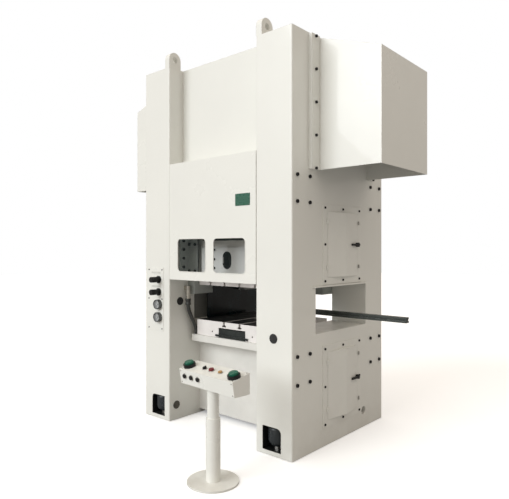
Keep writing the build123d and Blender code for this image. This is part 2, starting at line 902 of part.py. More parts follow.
with BuildPart() as drive_belt:
    with BuildSketch(Plane.YZ.offset(belt_start)):
        belt_outline(belt_gap + belt_thickness)
    extrude(amount=belt_width)
    with BuildSketch(Plane.YZ.offset(belt_start)):
        belt_outline(belt_gap)
    extrude(amount=belt_width, mode=Mode.SUBTRACT)
save(drive_belt, "drive_belt")

# Brake disc on the left end of the shaft, and its caliper on the column
with BuildPart() as brake_disc:
    rod_along_x((-disc_centre - disc_thickness / 2, -disc_centre + disc_thickness / 2), 0,
                shaft_height, disc_radius)
    rod_along_x((-disc_centre - brake_hub_width / 2, -disc_centre + brake_hub_width / 2), 0,
                shaft_height, brake_hub_radius)
    rod_along_x((-disc_centre - brake_hub_width / 2, -disc_centre + brake_hub_width / 2), 0,
                shaft_height, end_radius + key_fit, Mode.SUBTRACT)
save(brake_disc, "brake_disc")

with BuildPart() as brake_caliper:
    caliper_z = (shaft_height - caliper_half, shaft_height + caliper_half)
    block((-outer_x, -outer_x - bracket_plate), (caliper_throat, caliper_outer),
          (shaft_height - caliper_foot_half, shaft_height + caliper_foot_half))
    block((-outer_x - bracket_plate, -disc_centre),
          (caliper_throat + caliper_arm_inset, caliper_outer), caliper_z)
    jaw = disc_thickness / 2 + caliper_gap + caliper_jaw
    block((-disc_centre - jaw, -disc_centre + jaw), (caliper_inner, caliper_outer), caliper_z)
    slot = disc_thickness / 2 + caliper_gap
    block((-disc_centre - slot, -disc_centre + slot), (caliper_inner, caliper_throat), caliper_z,
          Mode.SUBTRACT)
save(brake_caliper, "brake_caliper")

# Hoods: sheet shells over the shaft ends, open underneath, with a bolted frame
roof_slope = (hood_top_inner - hood_top_outer) / hood_reach
for side, hood_name in ((1, "right_hood"), (-1, "left_hood")):
    with BuildPart() as hood:
        outer_wall = side * (outer_x + hood_reach)
        with BuildSketch(Plane.XZ.offset(hood_front)):
            Polygon(
                (side * outer_x, hood_bottom),
                (outer_wall, hood_bottom),
                (outer_wall, hood_top_outer),
                (side * outer_x, hood_top_inner),
                align=None,
            )
        extrude(amount=-(hood_front + hood_rear))
        inner_wall = outer_wall - side * hood_sheet
        with BuildSketch(Plane.XZ.offset(hood_front - hood_sheet)):
            Polygon(
                (side * outer_x, hood_bottom),
                (inner_wall, hood_bottom),
                (inner_wall, hood_top_outer - hood_sheet + hood_sheet * roof_slope),
                (side * outer_x, hood_top_inner - hood_sheet),
                align=None,
            )
        extrude(amount=-(hood_front + hood_rear - 2 * hood_sheet), mode=Mode.SUBTRACT)
        for flange_y in ((-hood_front - flange_width, -hood_front),
                         (hood_rear, hood_rear + flange_width)):
            block((side * outer_x, side * (outer_x + flange_thickness)), flange_y,
                  (hood_bottom, hood_top_inner))
        drill(screws_where(lambda seat, way, size: size == hood_bolt and seat[0] * side > 0))
    save(hood, hood_name)

# Screws: socket heads on their shanks, one solid each
with BuildPart() as cap_screws:
    for sizes in {screw[2] for screw in screws}:
        head_radius, head_height, shank_radius, shank_length = sizes
        seats = [Plane(origin=seat, z_dir=way).location for seat, way, size in screws
                 if size == sizes]
        with Locations(*seats):
            Cylinder(shank_radius, shank_length, align=(Align.CENTER, Align.CENTER, Align.MAX))
            Cylinder(head_radius, head_height, align=(Align.CENTER, Align.CENTER, Align.MIN))
        tops = [Plane(origin=Vector(*seat) + Vector(*way) * head_height, z_dir=way)
                for seat, way, size in screws if size == sizes]
        with BuildSketch(*tops):
            RegularPolygon(head_radius * socket_share, 6)
        extrude(amount=-head_height * socket_share, mode=Mode.SUBTRACT)
save(cap_screws, "cap_screws")

# Door frames and the plain covers that close the same openings on the left
frame_span = (-door_frame_half, door_frame_half)
with BuildPart() as door_frames:
    for bottom, height in doors.values():
        block((outer_x, frame_face), frame_span,
              (bottom - door_frame_margin, bottom + height + door_frame_margin))
        block((outer_x, frame_face), door_opening_y,
              (bottom + door_overlap, bottom + height - door_overlap), Mode.SUBTRACT)
        for hinge_z in (bottom + hinge_inset, bottom + height - hinge_inset):
            barrel = (hinge_z - knuckle_length, hinge_z - hinge_split)
            rod_along_z(hinge_x, -hinge_y, barrel, knuckle_radius)
            block((frame_face, hinge_x),
                  (-hinge_y - hinge_pin_radius, -hinge_y + hinge_pin_radius), barrel)
            rod_along_z(hinge_x, -hinge_y, (barrel[0], hinge_z + knuckle_length - hinge_split),
                        hinge_pin_radius)
    drill(screws_where(lambda seat, way, size: size == door_screw and seat[0] > 0))
save(door_frames, "door_frames")

with BuildPart() as left_access_covers:
    for bottom, height in doors.values():
        block((-frame_face, -outer_x), frame_span,
              (bottom - door_frame_margin, bottom + height + door_frame_margin))
    drill(screws_where(lambda seat, way, size: size == door_screw and seat[0] < 0))
save(left_access_covers, "left_access_covers")

# Doors: one folded leaf each, hinged at the front edge, with a turning handle
leaf_back = frame_face + door_gap
boss_face = leaf_back + handle_boss
hub_end = boss_face + handle_standoff
for name, (bottom, height) in doors.items():
    handle_z = bottom + height / 2
    with BuildPart() as leaf:
        with BuildSketch(Plane.XY.offset(bottom)):
            Polygon((leaf_back, -door_front_edge), (leaf_back + door_ridge, door_ridge_y),
                    (leaf_back, door_rear_edge), align=None)
        extrude(amount=height)
        with BuildSketch(Plane.XY.offset(bottom + door_sheet)):
            Polygon((leaf_back - door_sheet, -door_front_edge),
                    (leaf_back + door_ridge - door_sheet, door_ridge_y),
                    (leaf_back - door_sheet, door_rear_edge), align=None)
        extrude(amount=height - 2 * door_sheet, mode=Mode.SUBTRACT)
        rod_along_x((leaf_back, boss_face), handle_y, handle_z, handle_hub_radius)
        rod_along_x((leaf_back, boss_face), handle_y, handle_z,
                    handle_shaft_radius + hinge_pin_gap, Mode.SUBTRACT)
        for hinge_z in (bottom + hinge_inset, bottom + height - hinge_inset):
            barrel = (hinge_z, hinge_z + knuckle_length)
            rod_along_z(hinge_x, -hinge_y, barrel, knuckle_radius)
            block((leaf_back + door_gap / 2, hinge_x + door_gap),
                  (-hinge_y, -door_front_edge + hinge_strap), barrel)
            rod_along_z(hinge_x, -hinge_y, barrel, hinge_pin_radius + hinge_pin_gap,
                        Mode.SUBTRACT)
    save(leaf, f"{name}_door")
    with BuildPart() as handle:
        rod_along_x((boss_face + guide_gap, hub_end), handle_y, handle_z, handle_hub_radius)
        block((hub_end - handle_thickness, hub_end), (handle_y - handle_length, handle_y),
              (handle_z - handle_height / 2, handle_z + handle_height / 2))
        cam_start = leaf_back - handle_cam_set_back
        rod_along_x((cam_start, boss_face + guide_gap), handle_y, handle_z, handle_shaft_radius)
        block((cam_start, cam_start + handle_cam_thickness),
              (handle_y - handle_shaft_radius, handle_y + handle_cam_reach),
              (handle_z - handle_shaft_radius, handle_z + handle_shaft_radius))
    save(handle, f"{name}_door_handle")

# Instrument panel on the left column
with BuildPart() as instrument_panel:
    block((panel_left, panel_right), (-panel_face, -front_y), (panel_bottom, panel_top))
    drill(screws_where(lambda seat, way, size: size == panel_screw))
save(instrument_panel, "instrument_panel")

# Gauges: cases with a dial and a pin, lenses, and a needle on each pin
case_front = -panel_face - gauge_depth
dial_face = -panel_face - gauge_dial_depth
lens_front = case_front + lens_set_back
needle_back = dial_face - needle_stand
with BuildPart() as gauge_cases:
    for height in gauge_heights:
        rod_along_y(instrument_x, (case_front, -panel_face), height, gauge_radius)
        rod_along_y(instrument_x, (case_front, dial_face), height, gauge_recess_radius,
                    Mode.SUBTRACT)
        rod_along_y(instrument_x, (needle_back - needle_stand, dial_face), height, needle_pin)
save(gauge_cases, "gauge_cases")

with BuildPart() as gauge_lenses:
    for height in gauge_heights:
        rod_along_y(instrument_x, (lens_front, lens_front + lens_thickness), height,
                    gauge_recess_radius - lens_gap)
save(gauge_lenses, "gauge_lenses")

needle_reach = (needle_length - needle_tail) / 2 * sin(radians(needle_angle))
for height, name in zip(gauge_heights, ("upper", "lower")):
    with BuildPart() as needle:
        with BuildSketch(Plane.XZ.offset(-needle_back)):
            with Locations((instrument_x - needle_reach, height - needle_reach)):
                Rectangle(needle_length + needle_tail, needle_width, rotation=needle_angle)
            with Locations((instrument_x, height)):
                Circle(needle_hub)
                Circle(needle_pin + needle_pin_gap, mode=Mode.SUBTRACT)
        extrude(amount=needle_thickness)
    save(needle, f"{name}_gauge_needle")

# Regulators: a body on the panel with a spindle, and a fluted knob on each spindle
neck_start = -panel_face - regulator_flange
neck_end = neck_start - regulator_neck
knob_back = neck_end - knob_face_gap
with BuildPart() as regulator_bodies:
    for height in regulator_heights:
        rod_along_y(instrument_x, (neck_start, -panel_face), height, regulator_flange_radius)
        rod_along_y(instrument_x, (neck_end, neck_start), height, regulator_neck_radius)
        rod_along_y(instrument_x, (neck_end - spindle_length, neck_end), height, spindle_radius)
save(regulator_bodies, "regulator_bodies")

for height, name in zip(regulator_heights, ("upper", "lower")):
    with BuildPart() as knob:
        with BuildSketch(Plane.XZ.offset(-knob_back)):
            with Locations((instrument_x, height)):
                Circle(knob_radius)
                with PolarLocations(knob_radius, knob_flutes):
                    Circle(knob_flute_radius, mode=Mode.SUBTRACT)
        extrude(amount=knob_length)
        rod_along_y(instrument_x, (knob_back - spindle_length, knob_back), height,
                    spindle_radius + spindle_gap, Mode.SUBTRACT)
    save(knob, f"{name}_regulator_knob")

# Feet: rubber pads in recesses, with a levelling bolt and nut above each
corners = [(x, y) for x in (-pocket_centre, pocket_centre) for y in (-pad_y, pad_y)]
with BuildPart() as rubber_mounts:
    for corner_x, corner_y in corners:
        rod_along_z(corner_x, corner_y, (0, pad_height), pad_radius)
save(rubber_mounts, "rubber_mounts")

with BuildPart() as levelling_bolts:
    for corner_x, corner_y in corners:
        rod_along_z(corner_x, corner_y, (pad_height, stud_top), stud_radius)
    with BuildSketch(Plane.XY.offset(pocket_floor)):
        with Locations(*corners):
            RegularPolygon(nut_across / 2, 6, major_radius=False)
    extrude(amount=nut_height)
save(levelling_bolts, "levelling_bolts")

# Isolators: rounded rubber bodies that sit on the levelling nuts and fill the pockets
isolator_bottom = pocket_floor + nut_height
isolator_top = pocket_top - isolator_top_gap
with BuildPart() as foot_isolators:
    for corner_x, corner_y in corners:
        rod_along_z(corner_x, corner_y, (isolator_bottom, isolator_top), isolator_radius)
    rims = foot_isolators.edges().filter_by(GeomType.CIRCLE).group_by(Axis.Z)
    fillet(rims[0], isolator_lower_rounding)
    rims = foot_isolators.edges().filter_by(GeomType.CIRCLE).group_by(Axis.Z)
    fillet(rims[-1], isolator_upper_rounding)
    for corner_x, corner_y in corners:
        rod_along_z(corner_x, corner_y, (isolator_bottom, stud_top + stud_gap),
                    stud_radius + stud_gap, Mode.SUBTRACT)
save(foot_isolators, "foot_isolators")

# Plugs that close the unused holes
with BuildPart() as hole_plugs:
    rod_along_y(right_plug_x, (-front_y, -front_y + plug_depth - plug_gap), right_plug_z,
                plug_radius - plug_gap)
    rod_along_y(right_plug_x, (-front_y - plug_head_thickness, -front_y), right_plug_z,
                plug_head)
    for set_back, plug_z in wall_plug_places:
        plug_y = -front_y + set_back
        rod_along_x((-inner_x - plug_depth + plug_gap, -inner_x), plug_y, plug_z,
                    plug_radius - plug_gap)
        rod_along_x((-inner_x, -inner_x + plug_head_thickness), plug_y, plug_z, plug_head)
save(hole_plugs, "hole_plugs")

# Outfeed rail through the right tunnel, on its bracket
rail_half = rail_width / 2
groove_z = rail_bottom + rail_height / 2
with BuildPart() as outfeed_rail:
    block((rail_start, rail_end), (-rail_half, rail_half),
          (rail_bottom, rail_bottom + rail_height))
    for end in (1, -1):
        block((rail_start, rail_end), (end * (rail_half - rail_groove), end * rail_half),
              (groove_z - rail_groove_height / 2, groove_z + rail_groove_height / 2),
              Mode.SUBTRACT)
save(outfeed_rail, "outfeed_rail")

with BuildPart() as rail_bracket:
    post_start = inner_x + rail_post_inset
    block((post_start, post_start + rail_post_width), (-rail_half, rail_half),
          (tunnel_bottom, rail_bottom))
save(rail_bracket, "rail_bracket")

# Guards of the left tunnel: a smoked sheet on the inner wall, cut round the rear gib,
# and a plain panel inside the tunnel's front part
guard_span = (-inner_x, -inner_x + guard_sheet)
guard_step = gib_bottom - guard_gib_gap
with BuildPart() as left_side_guard:
    block(guard_span, (-guard_front, guard_rear), (tunnel_bottom - guard_lap, guard_step))
    block(guard_span, (-guard_front, gib_rear - guard_gib_gap),
          (guard_step, tunnel_top + guard_head_lap))
save(left_side_guard, "left_side_guard")

with BuildPart() as left_guard_panel:
    panel_outer = -inner_x - tunnel_panel_inset - guard_sheet
    block((panel_outer, panel_outer + guard_sheet),
          (-tunnel_depth / 2 + tunnel_panel_gap, -tunnel_panel_rear),
          (tunnel_bottom, tunnel_top - tunnel_panel_gap))
save(left_guard_panel, "left_guard_panel")

# Air hose from its fitting on the left column down to the bed ledge
fitting_bottom = hose_top + ferrule_length
fitting_top = fitting_bottom + fitting_length
with BuildPart() as hose_fitting:
    rod_along_z(hose_x, hose_y, (fitting_bottom, fitting_top), fitting_radius)
    block((-inner_x, hose_x), (hose_y - fitting_lug_width / 2, hose_y + fitting_lug_width / 2),
          (fitting_top - fitting_lug_height, fitting_top))
save(hose_fitting, "hose_fitting")

with BuildPart() as air_hose:
    rod_along_z(hose_x, hose_y, (hose_top, fitting_bottom), ferrule_radius)
    with BuildLine():
        Spline((hose_x, hose_y, hose_top),
               (hose_x + hose_foot_shift, -ledge_front + hose_foot_inset, ledge_top),
               tangents=((0, 0, -1), (0, 0, -1)))
    with BuildSketch(Plane(origin=(hose_x, hose_y, hose_top), z_dir=(0, 0, -1))):
        Circle(hose_radius)
    sweep()
save(air_hose, "air_hose")

# Console: its own axes, u along the width, v to the rear
turn = radians(console_turn)
along_u = Vector(cos(turn), sin(turn), 0)
along_v = Vector(-sin(turn), cos(turn), 0)
console_foot = Vector(console_x, console_y, 0)
half_depth = console_depth / 2
top_slope = atan2(console_rear_top - console_front_top, console_depth)
front_lean = atan2(console_front_bottom_set_back, console_front_top - console_bottom)
top_normal = along_v * -sin(top_slope) + Vector(0, 0, cos(top_slope))
front_normal = along_v * -cos(front_lean) + Vector(0, 0, -sin(front_lean))


def top_seat(u, s):
    """The plane on the sloping top at u across and s back from the front edge."""
    place = console_foot + along_u * u + along_v * (s * cos(top_slope) - half_depth)
    height = console_front_top + s * sin(top_slope)
    return Plane(origin=place + Vector(0, 0, height), x_dir=along_u, z_dir=top_normal)


def front_seat(u, drop):
    """The plane on the front panel at u across and a drop below its top edge."""
    place = console_foot + along_u * u + along_v * (drop * sin(front_lean) - half_depth)
    height = console_front_top - drop * cos(front_lean)
    return Plane(origin=place + Vector(0, 0, height), x_dir=along_u, z_dir=front_normal)


def peg(seat, start, end, radius, mode=Mode.ADD):
    """A cylinder on a seat plane between two heights above it."""
    with Locations(seat.offset((start + end) / 2).location):
        Cylinder(radius, end - start, mode=mode)


palm_seats = {"left": top_seat(-palm_u, palm_s), "right": top_seat(palm_u, palm_s)}
red_seat = top_seat(red_u, small_s)
yellow_seat = top_seat(yellow_u, small_s)
selector_seat = top_seat(selector_u, small_s)
front_seats = [front_seat(u, front_button_drop) for u in front_button_u]

with BuildPart() as console_box:
    profile = Plane(origin=console_foot, x_dir=along_v, z_dir=along_u)
    with BuildSketch(profile):
        Polygon(
            (console_front_bottom_set_back - half_depth, console_bottom),
            (half_depth, console_bottom),
            (half_depth, console_rear_top),
            (-half_depth, console_front_top),
            align=None,
        )
    extrude(amount=console_half, both=True)
    with BuildSketch(profile):
        Polygon(
            (console_front_bottom_set_back - half_depth, console_bottom),
            (half_depth, console_bottom),
            (half_depth, console_rear_top),
            (-half_depth, console_front_top),
            align=None,
        )
        offset(amount=-console_sheet, kind=Kind.INTERSECTION, mode=Mode.REPLACE)
    extrude(amount=console_half - console_sheet, both=True, mode=Mode.SUBTRACT)
    rod_along_z(console_x, console_y, (console_bottom, console_bottom + console_sheet),
                cable_throat, Mode.SUBTRACT)
    for seat in palm_seats.values():
        peg(seat, -stem_below, stem_below, palm_stem_radius + stem_gap, Mode.SUBTRACT)
    for seat in [red_seat, yellow_seat, selector_seat] + front_seats:
        peg(seat, -stem_below, stem_below, small_stem_radius + stem_gap, Mode.SUBTRACT)
save(console_box, "console_box")

with BuildPart() as pedestal:
    rod_along_z(console_x, console_y, (0, base_thickness), base_radius)
    rod_along_z(console_x, console_y, (base_thickness, lower_tube_top), lower_tube_radius)
    rod_along_z(console_x, console_y, (lower_tube_top, console_bottom), upper_tube_radius)
    rod_along_z(console_x, console_y, (base_thickness, lower_tube_top - tube_wall),
                lower_tube_radius - tube_wall, Mode.SUBTRACT)
    rod_along_z(console_x, console_y, (lower_tube_top - tube_wall, console_bottom - tube_wall),
                upper_tube_radius - tube_wall, Mode.SUBTRACT)
    rod_along_z(console_x, console_y, (console_bottom - tube_wall, console_bottom),
                cable_throat, Mode.SUBTRACT)
save(pedestal, "pedestal")

with BuildPart() as palm_button_shrouds:
    for seat in palm_seats.values():
        peg(seat, 0, shroud_height, shroud_radius)
        peg(seat, 0, shroud_height, shroud_inner, Mode.SUBTRACT)
save(palm_button_shrouds, "palm_button_shrouds")

for name, seat in palm_seats.items():
    with BuildPart() as palm_button:
        peg(seat, palm_cap_bottom, palm_cap_top, palm_cap_radius)
        crown_edge = palm_button.edges().filter_by(GeomType.CIRCLE).sort_by(Axis.Z)[-1]
        fillet(crown_edge, palm_cap_rounding)
        peg(seat, -stem_below, palm_cap_bottom, palm_stem_radius)
    save(palm_button, f"{name}_palm_button")

small_buttons = {
    "red_button": (red_seat, red_radius, red_cap_top),
    "yellow_button": (yellow_seat, yellow_radius, yellow_cap_top),
    "left_front_button": (front_seats[0], front_button_radius, front_button_top),
    "middle_front_button": (front_seats[1], front_button_radius, front_button_top),
    "right_front_button": (front_seats[2], front_button_radius, front_button_top),
}
for name, (seat, cap_radius, cap_top) in small_buttons.items():
    with BuildPart() as button:
        peg(seat, small_cap_bottom, cap_top, cap_radius)
        peg(seat, -stem_below, small_cap_bottom, small_stem_radius)
    save(button, name)

with BuildPart() as selector_knob:
    peg(selector_seat, guide_gap, selector_top, selector_radius)
    peg(selector_seat, -stem_below, guide_gap, small_stem_radius)
    with BuildSketch(selector_seat.offset(guide_gap)):
        Rectangle(selector_bar_width, selector_bar_length)
    extrude(amount=selector_bar_top)
save(selector_knob, "selector_knob")
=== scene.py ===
import math

import bmesh
import bpy
from bpy.props import FloatProperty, FloatVectorProperty, IntProperty, PointerProperty
from mathutils import Euler, Matrix, Vector


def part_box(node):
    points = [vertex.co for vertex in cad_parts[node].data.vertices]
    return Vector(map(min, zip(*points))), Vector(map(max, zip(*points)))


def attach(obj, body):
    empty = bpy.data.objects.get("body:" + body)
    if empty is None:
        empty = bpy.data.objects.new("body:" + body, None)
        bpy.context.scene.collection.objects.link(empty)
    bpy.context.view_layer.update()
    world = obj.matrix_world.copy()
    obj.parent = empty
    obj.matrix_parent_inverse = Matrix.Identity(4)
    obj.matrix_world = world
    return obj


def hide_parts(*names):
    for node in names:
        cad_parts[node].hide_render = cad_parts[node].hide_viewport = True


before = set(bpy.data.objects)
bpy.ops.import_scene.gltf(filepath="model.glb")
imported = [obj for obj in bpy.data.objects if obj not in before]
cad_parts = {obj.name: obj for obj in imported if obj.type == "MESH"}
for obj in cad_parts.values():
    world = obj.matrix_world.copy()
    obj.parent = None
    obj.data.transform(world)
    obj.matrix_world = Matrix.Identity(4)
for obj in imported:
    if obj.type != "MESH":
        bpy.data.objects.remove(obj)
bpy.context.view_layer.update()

bl_info = {
    "name": "Punch press dressing",
    "version": (1, 0, 0),
    "blender": (4, 5, 0),
    "location": "View3D > Sidebar > Press",
    "description": "Finishes and small fittings for a straight-sided punch press",
    "category": "Object",
}


# Settings that a user would change

class PressColours(bpy.types.PropertyGroup):
    """Colours of the press's finishes."""

    enamel: FloatVectorProperty(
        name="Enamel", description="Off-white enamel of the frame, covers and hoods",
        subtype="COLOR", size=3, min=0, max=1, default=(0.80, 0.80, 0.755))
    enamel_inside: FloatVectorProperty(
        name="Inner enamel", description="Enamel of the slide and bed",
        subtype="COLOR", size=3, min=0, max=1, default=(0.76, 0.75, 0.71))
    machined: FloatVectorProperty(
        name="Machined steel", description="Ground and milled steel faces",
        subtype="COLOR", size=3, min=0, max=1, default=(0.46, 0.46, 0.46))
    casting: FloatVectorProperty(
        name="Casting", description="Dark castings of the drive",
        subtype="COLOR", size=3, min=0, max=1, default=(0.085, 0.09, 0.095))
    # Painted shade: a near-black colour laid where shade falls, inside the foot pockets, in the
    # slot of the slide's face plate, on a band at the top of the slide's front and on part of the
    # gib blocks.
    painted_shade: FloatVectorProperty(
        name="Painted shade", description="Dark paint inside the foot pockets and the slide's slot",
        subtype="COLOR", size=3, min=0, max=1, default=(0.012, 0.013, 0.013))
    rail: FloatVectorProperty(
        name="Rail", description="Dark outfeed rail",
        subtype="COLOR", size=3, min=0, max=1, default=(0.055, 0.065, 0.06))
    green: FloatVectorProperty(
        name="Green caps", description="Palm buttons and green caps",
        subtype="COLOR", size=3, min=0, max=1, default=(0.002, 0.105, 0.06))
    red: FloatVectorProperty(
        name="Red caps", description="Stop button",
        subtype="COLOR", size=3, min=0, max=1, default=(0.17, 0.012, 0.018))
    yellow: FloatVectorProperty(
        name="Yellow cap", description="Amber yellow console button",
        subtype="COLOR", size=3, min=0, max=1, default=(0.46, 0.27, 0.10))
    plate: FloatVectorProperty(
        name="Nameplate", description="Plain green plate on the front cover",
        subtype="COLOR", size=3, min=0, max=1, default=(0.045, 0.15, 0.10))
    dust: FloatVectorProperty(
        name="Dust", description="Shop dust low on the machine and on ledges",
        subtype="COLOR", size=3, min=0, max=1, default=(0.36, 0.32, 0.26))


class PressSizes(bpy.types.PropertyGroup):
    """Sizes of the small fittings."""

    small_screw: FloatProperty(
        name="Small screw", description="Head radius of the console's screws",
        subtype="DISTANCE", unit="LENGTH", default=0.0045, min=0.001)
    plate_screw: FloatProperty(
        name="Plate screw", description="Head radius of the screws in the slide's face plate",
        subtype="DISTANCE", unit="LENGTH", default=0.011, min=0.002)
    edge_round: FloatProperty(
        name="Edge rounding", description="How softly light turns round a painted edge",
        subtype="DISTANCE", unit="LENGTH", default=0.003, min=0)
    hose_pitch: FloatProperty(
        name="Hose pitch", description="Distance between two ribs of the air hose",
        subtype="DISTANCE", unit="LENGTH", default=0.0075, min=0.002)
    bead_width: FloatProperty(
        name="Window bead", description="Width of the bead round each window",
        subtype="DISTANCE", unit="LENGTH", default=0.007, min=0.002)
    dial_ticks: IntProperty(
        name="Dial ticks", description="Marks on each gauge dial", default=31, min=5)


class PressStage(bpy.types.PropertyGroup):
    """Floor and light."""

    floor: FloatVectorProperty(
        name="Floor", description="Colour of the floor",
        subtype="COLOR", size=3, min=0, max=1, default=(0.86, 0.86, 0.86))
    bounce: FloatProperty(
        name="Bounce", description="Share of its light that the floor gives back to the press",
        default=0.42, min=0, max=1)
    low_light: FloatProperty(
        name="Low light", description="Level of the soft light near the horizon",
        default=0.37, min=0)
    high_light: FloatProperty(
        name="High light", description="Level of the soft light from overhead",
        default=1.10, min=0)
    key_light: FloatProperty(
        name="Key light", description="Level of the light from the front left",
        default=2.05, min=0)


# Small builders for nodes

def add_node(tree, kind, inputs=None, **settings):
    """A new node with its settings and its inputs, each a value or a socket to link."""
    made = tree.nodes.new(kind)
    for key, value in settings.items():
        setattr(made, key, value)
    for key, value in (inputs or {}).items():
        if isinstance(value, bpy.types.NodeSocket):
            tree.links.new(value, made.inputs[key])
        else:
            made.inputs[key].default_value = value
    return made


def maths(tree, operation, first, second=0.0, clamp=False):
    """A maths node of one or two values; returns its result socket."""
    made = add_node(tree, "ShaderNodeMath", {0: first, 1: second}, operation=operation,
                    use_clamp=clamp)
    return made.outputs["Value"]


def vector_maths(tree, operation, first, second=(0, 0, 0)):
    """A maths node of one or two vectors; returns its result socket."""
    made = add_node(tree, "ShaderNodeVectorMath", {0: first, 1: second}, operation=operation)
    return made.outputs["Value" if operation == "DOT_PRODUCT" else "Vector"]


def object_place(tree):
    """The place of a point in its piece's own frame."""
    return add_node(tree, "ShaderNodeTexCoord").outputs["Object"]


def face_up(tree):
    """How far a face looks up: one on top, zero on a side."""
    face = add_node(tree, "ShaderNodeNewGeometry").outputs["Normal"]
    return add_node(tree, "ShaderNodeSeparateXYZ", {0: face}).outputs["Z"]


def new_group(name, inputs, outputs):
    """A shader node group with named sockets; returns the tree, its input and its output."""
    tree = bpy.data.node_groups.new(name, "ShaderNodeTree")
    for label, value in inputs.items():
        kind = "NodeSocketVector" if isinstance(value, tuple) else "NodeSocketFloat"
        tree.interface.new_socket(label, in_out="INPUT", socket_type=kind).default_value = value
    for label, kind in outputs.items():
        tree.interface.new_socket(label, in_out="OUTPUT", socket_type=kind)
    return tree, tree.nodes.new("NodeGroupInput"), tree.nodes.new("NodeGroupOutput")


def use_group(tree, group, **values):
    """Places a node group in a material with its own values."""
    made = tree.nodes.new("ShaderNodeGroup")
    made.node_tree = group
    for key, value in values.items():
        socket = made.inputs[key.replace("_", " ")]
        if isinstance(value, bpy.types.NodeSocket):
            tree.links.new(value, socket)
        else:
            socket.default_value = value
    return made


def make_patches():
    """Group: soft patches that shift a surface's colour and gloss a little."""
    tree, get, put = new_group("Soft patches", {"Size": 1.0, "Depth": 0.1},
                               {"Mask": "NodeSocketFloat"})
    place = object_place(tree)
    wide = add_node(tree, "ShaderNodeTexNoise", {
        "Vector": place, "Scale": get.outputs["Size"], "Detail": 5.0, "Roughness": 0.55})
    spread = add_node(tree, "ShaderNodeMapRange", {
        "Value": wide.outputs["Fac"], "From Min": 0.35, "From Max": 0.65,
        "To Max": get.outputs["Depth"]})
    tree.links.new(spread.outputs["Result"], put.inputs["Mask"])
    return tree


def make_grain():
    """Group: fine relief of a surface, over an edge that light turns round softly."""
    tree, get, put = new_group(
        "Fine grain", {"Size": 400.0, "Depth": 0.1, "Edge": 0.003, "Stretch": 1.0},
        {"Normal": "NodeSocketVector"})
    place = object_place(tree)
    along = add_node(tree, "ShaderNodeCombineXYZ", {
        "X": 1.0, "Y": get.outputs["Stretch"], "Z": 1.0})
    drawn = vector_maths(tree, "MULTIPLY", place, along.outputs["Vector"])
    fine = add_node(tree, "ShaderNodeTexNoise", {
        "Vector": drawn, "Scale": get.outputs["Size"], "Detail": 3.0})
    soft = add_node(tree, "ShaderNodeBevel", {"Radius": get.outputs["Edge"]}, samples=4)
    bump = add_node(tree, "ShaderNodeBump", {
        "Strength": get.outputs["Depth"], "Distance": 0.0006, "Height": fine.outputs["Fac"],
        "Normal": soft.outputs["Normal"]})
    tree.links.new(bump.outputs["Normal"], put.inputs["Normal"])
    return tree


def make_wear():
    """Group: worn or chipped places along edges."""
    tree, get, put = new_group("Edge wear", {"Width": 0.004, "Amount": 0.5},
                               {"Mask": "NodeSocketFloat"})
    place = object_place(tree)
    soft = add_node(tree, "ShaderNodeBevel", {"Radius": get.outputs["Width"]}, samples=4)
    flat = add_node(tree, "ShaderNodeNewGeometry").outputs["Normal"]
    turn = vector_maths(tree, "DOT_PRODUCT", soft.outputs["Normal"], flat)
    edge = add_node(tree, "ShaderNodeMapRange", {
        "Value": turn, "From Min": 0.995, "From Max": 0.86})
    torn = add_node(tree, "ShaderNodeTexNoise", {"Vector": place, "Scale": 55.0, "Detail": 6.0})
    gate = add_node(tree, "ShaderNodeMapRange", {
        "Value": torn.outputs["Fac"], "From Min": 0.50, "From Max": 0.62})
    both = maths(tree, "MULTIPLY", edge.outputs["Result"], gate.outputs["Result"])
    level = maths(tree, "MULTIPLY", both, get.outputs["Amount"])
    tree.links.new(level, put.inputs["Mask"])
    return tree


def make_dust():
    """Group: shop dust, thicker near the floor and on faces that look up."""
    tree, get, put = new_group("Shop dust", {"Height": 0.5, "Amount": 0.3, "Ledges": 0.2},
                               {"Mask": "NodeSocketFloat"})
    place = object_place(tree)
    high = add_node(tree, "ShaderNodeSeparateXYZ", {0: place}).outputs["Z"]
    low = add_node(tree, "ShaderNodeMapRange", {
        "Value": high, "From Min": get.outputs["Height"], "From Max": 0.0,
        "To Max": get.outputs["Amount"]})
    ledge = add_node(tree, "ShaderNodeMapRange", {
        "Value": face_up(tree), "From Min": 0.6, "From Max": 1.0,
        "To Max": get.outputs["Ledges"]})
    total = maths(tree, "ADD", low.outputs["Result"], ledge.outputs["Result"])
    cloud = add_node(tree, "ShaderNodeTexNoise", {"Vector": place, "Scale": 7.0, "Detail": 7.0})
    gate = add_node(tree, "ShaderNodeMapRange", {
        "Value": cloud.outputs["Fac"], "From Min": 0.3, "From Max": 0.7})
    both = maths(tree, "MULTIPLY", total, gate.outputs["Result"], clamp=True)
    tree.links.new(both, put.inputs["Mask"])
    return tree


def make_zone():
    """Group: one inside a box that is mirrored in X and Y, else zero."""
    tree, get, put = new_group("Mirrored box", {"Low": (0, 0, 0), "High": (1, 1, 1)},
                               {"Mask": "NodeSocketFloat"})
    place = object_place(tree)
    half = vector_maths(tree, "ABSOLUTE", place)
    above = vector_maths(tree, "SUBTRACT", half, get.outputs["Low"])
    below = vector_maths(tree, "SUBTRACT", get.outputs["High"], half)
    least = vector_maths(tree, "MINIMUM", above, below)
    parts = add_node(tree, "ShaderNodeSeparateXYZ", {0: least}).outputs
    pair = maths(tree, "MINIMUM", parts["X"], parts["Y"])
    depth = maths(tree, "MINIMUM", pair, parts["Z"])
    inside = maths(tree, "GREATER_THAN", depth, 0.0)
    tree.links.new(inside, put.inputs["Mask"])
    return tree


groups = {}
finishes = {}


def blend_colour(tree, mask, first, second):
    """Mixes two colours by a mask; returns the result socket."""
    made = add_node(tree, "ShaderNodeMix", {0: mask, 6: first, 7: second}, data_type="RGBA")
    return made.outputs[2]


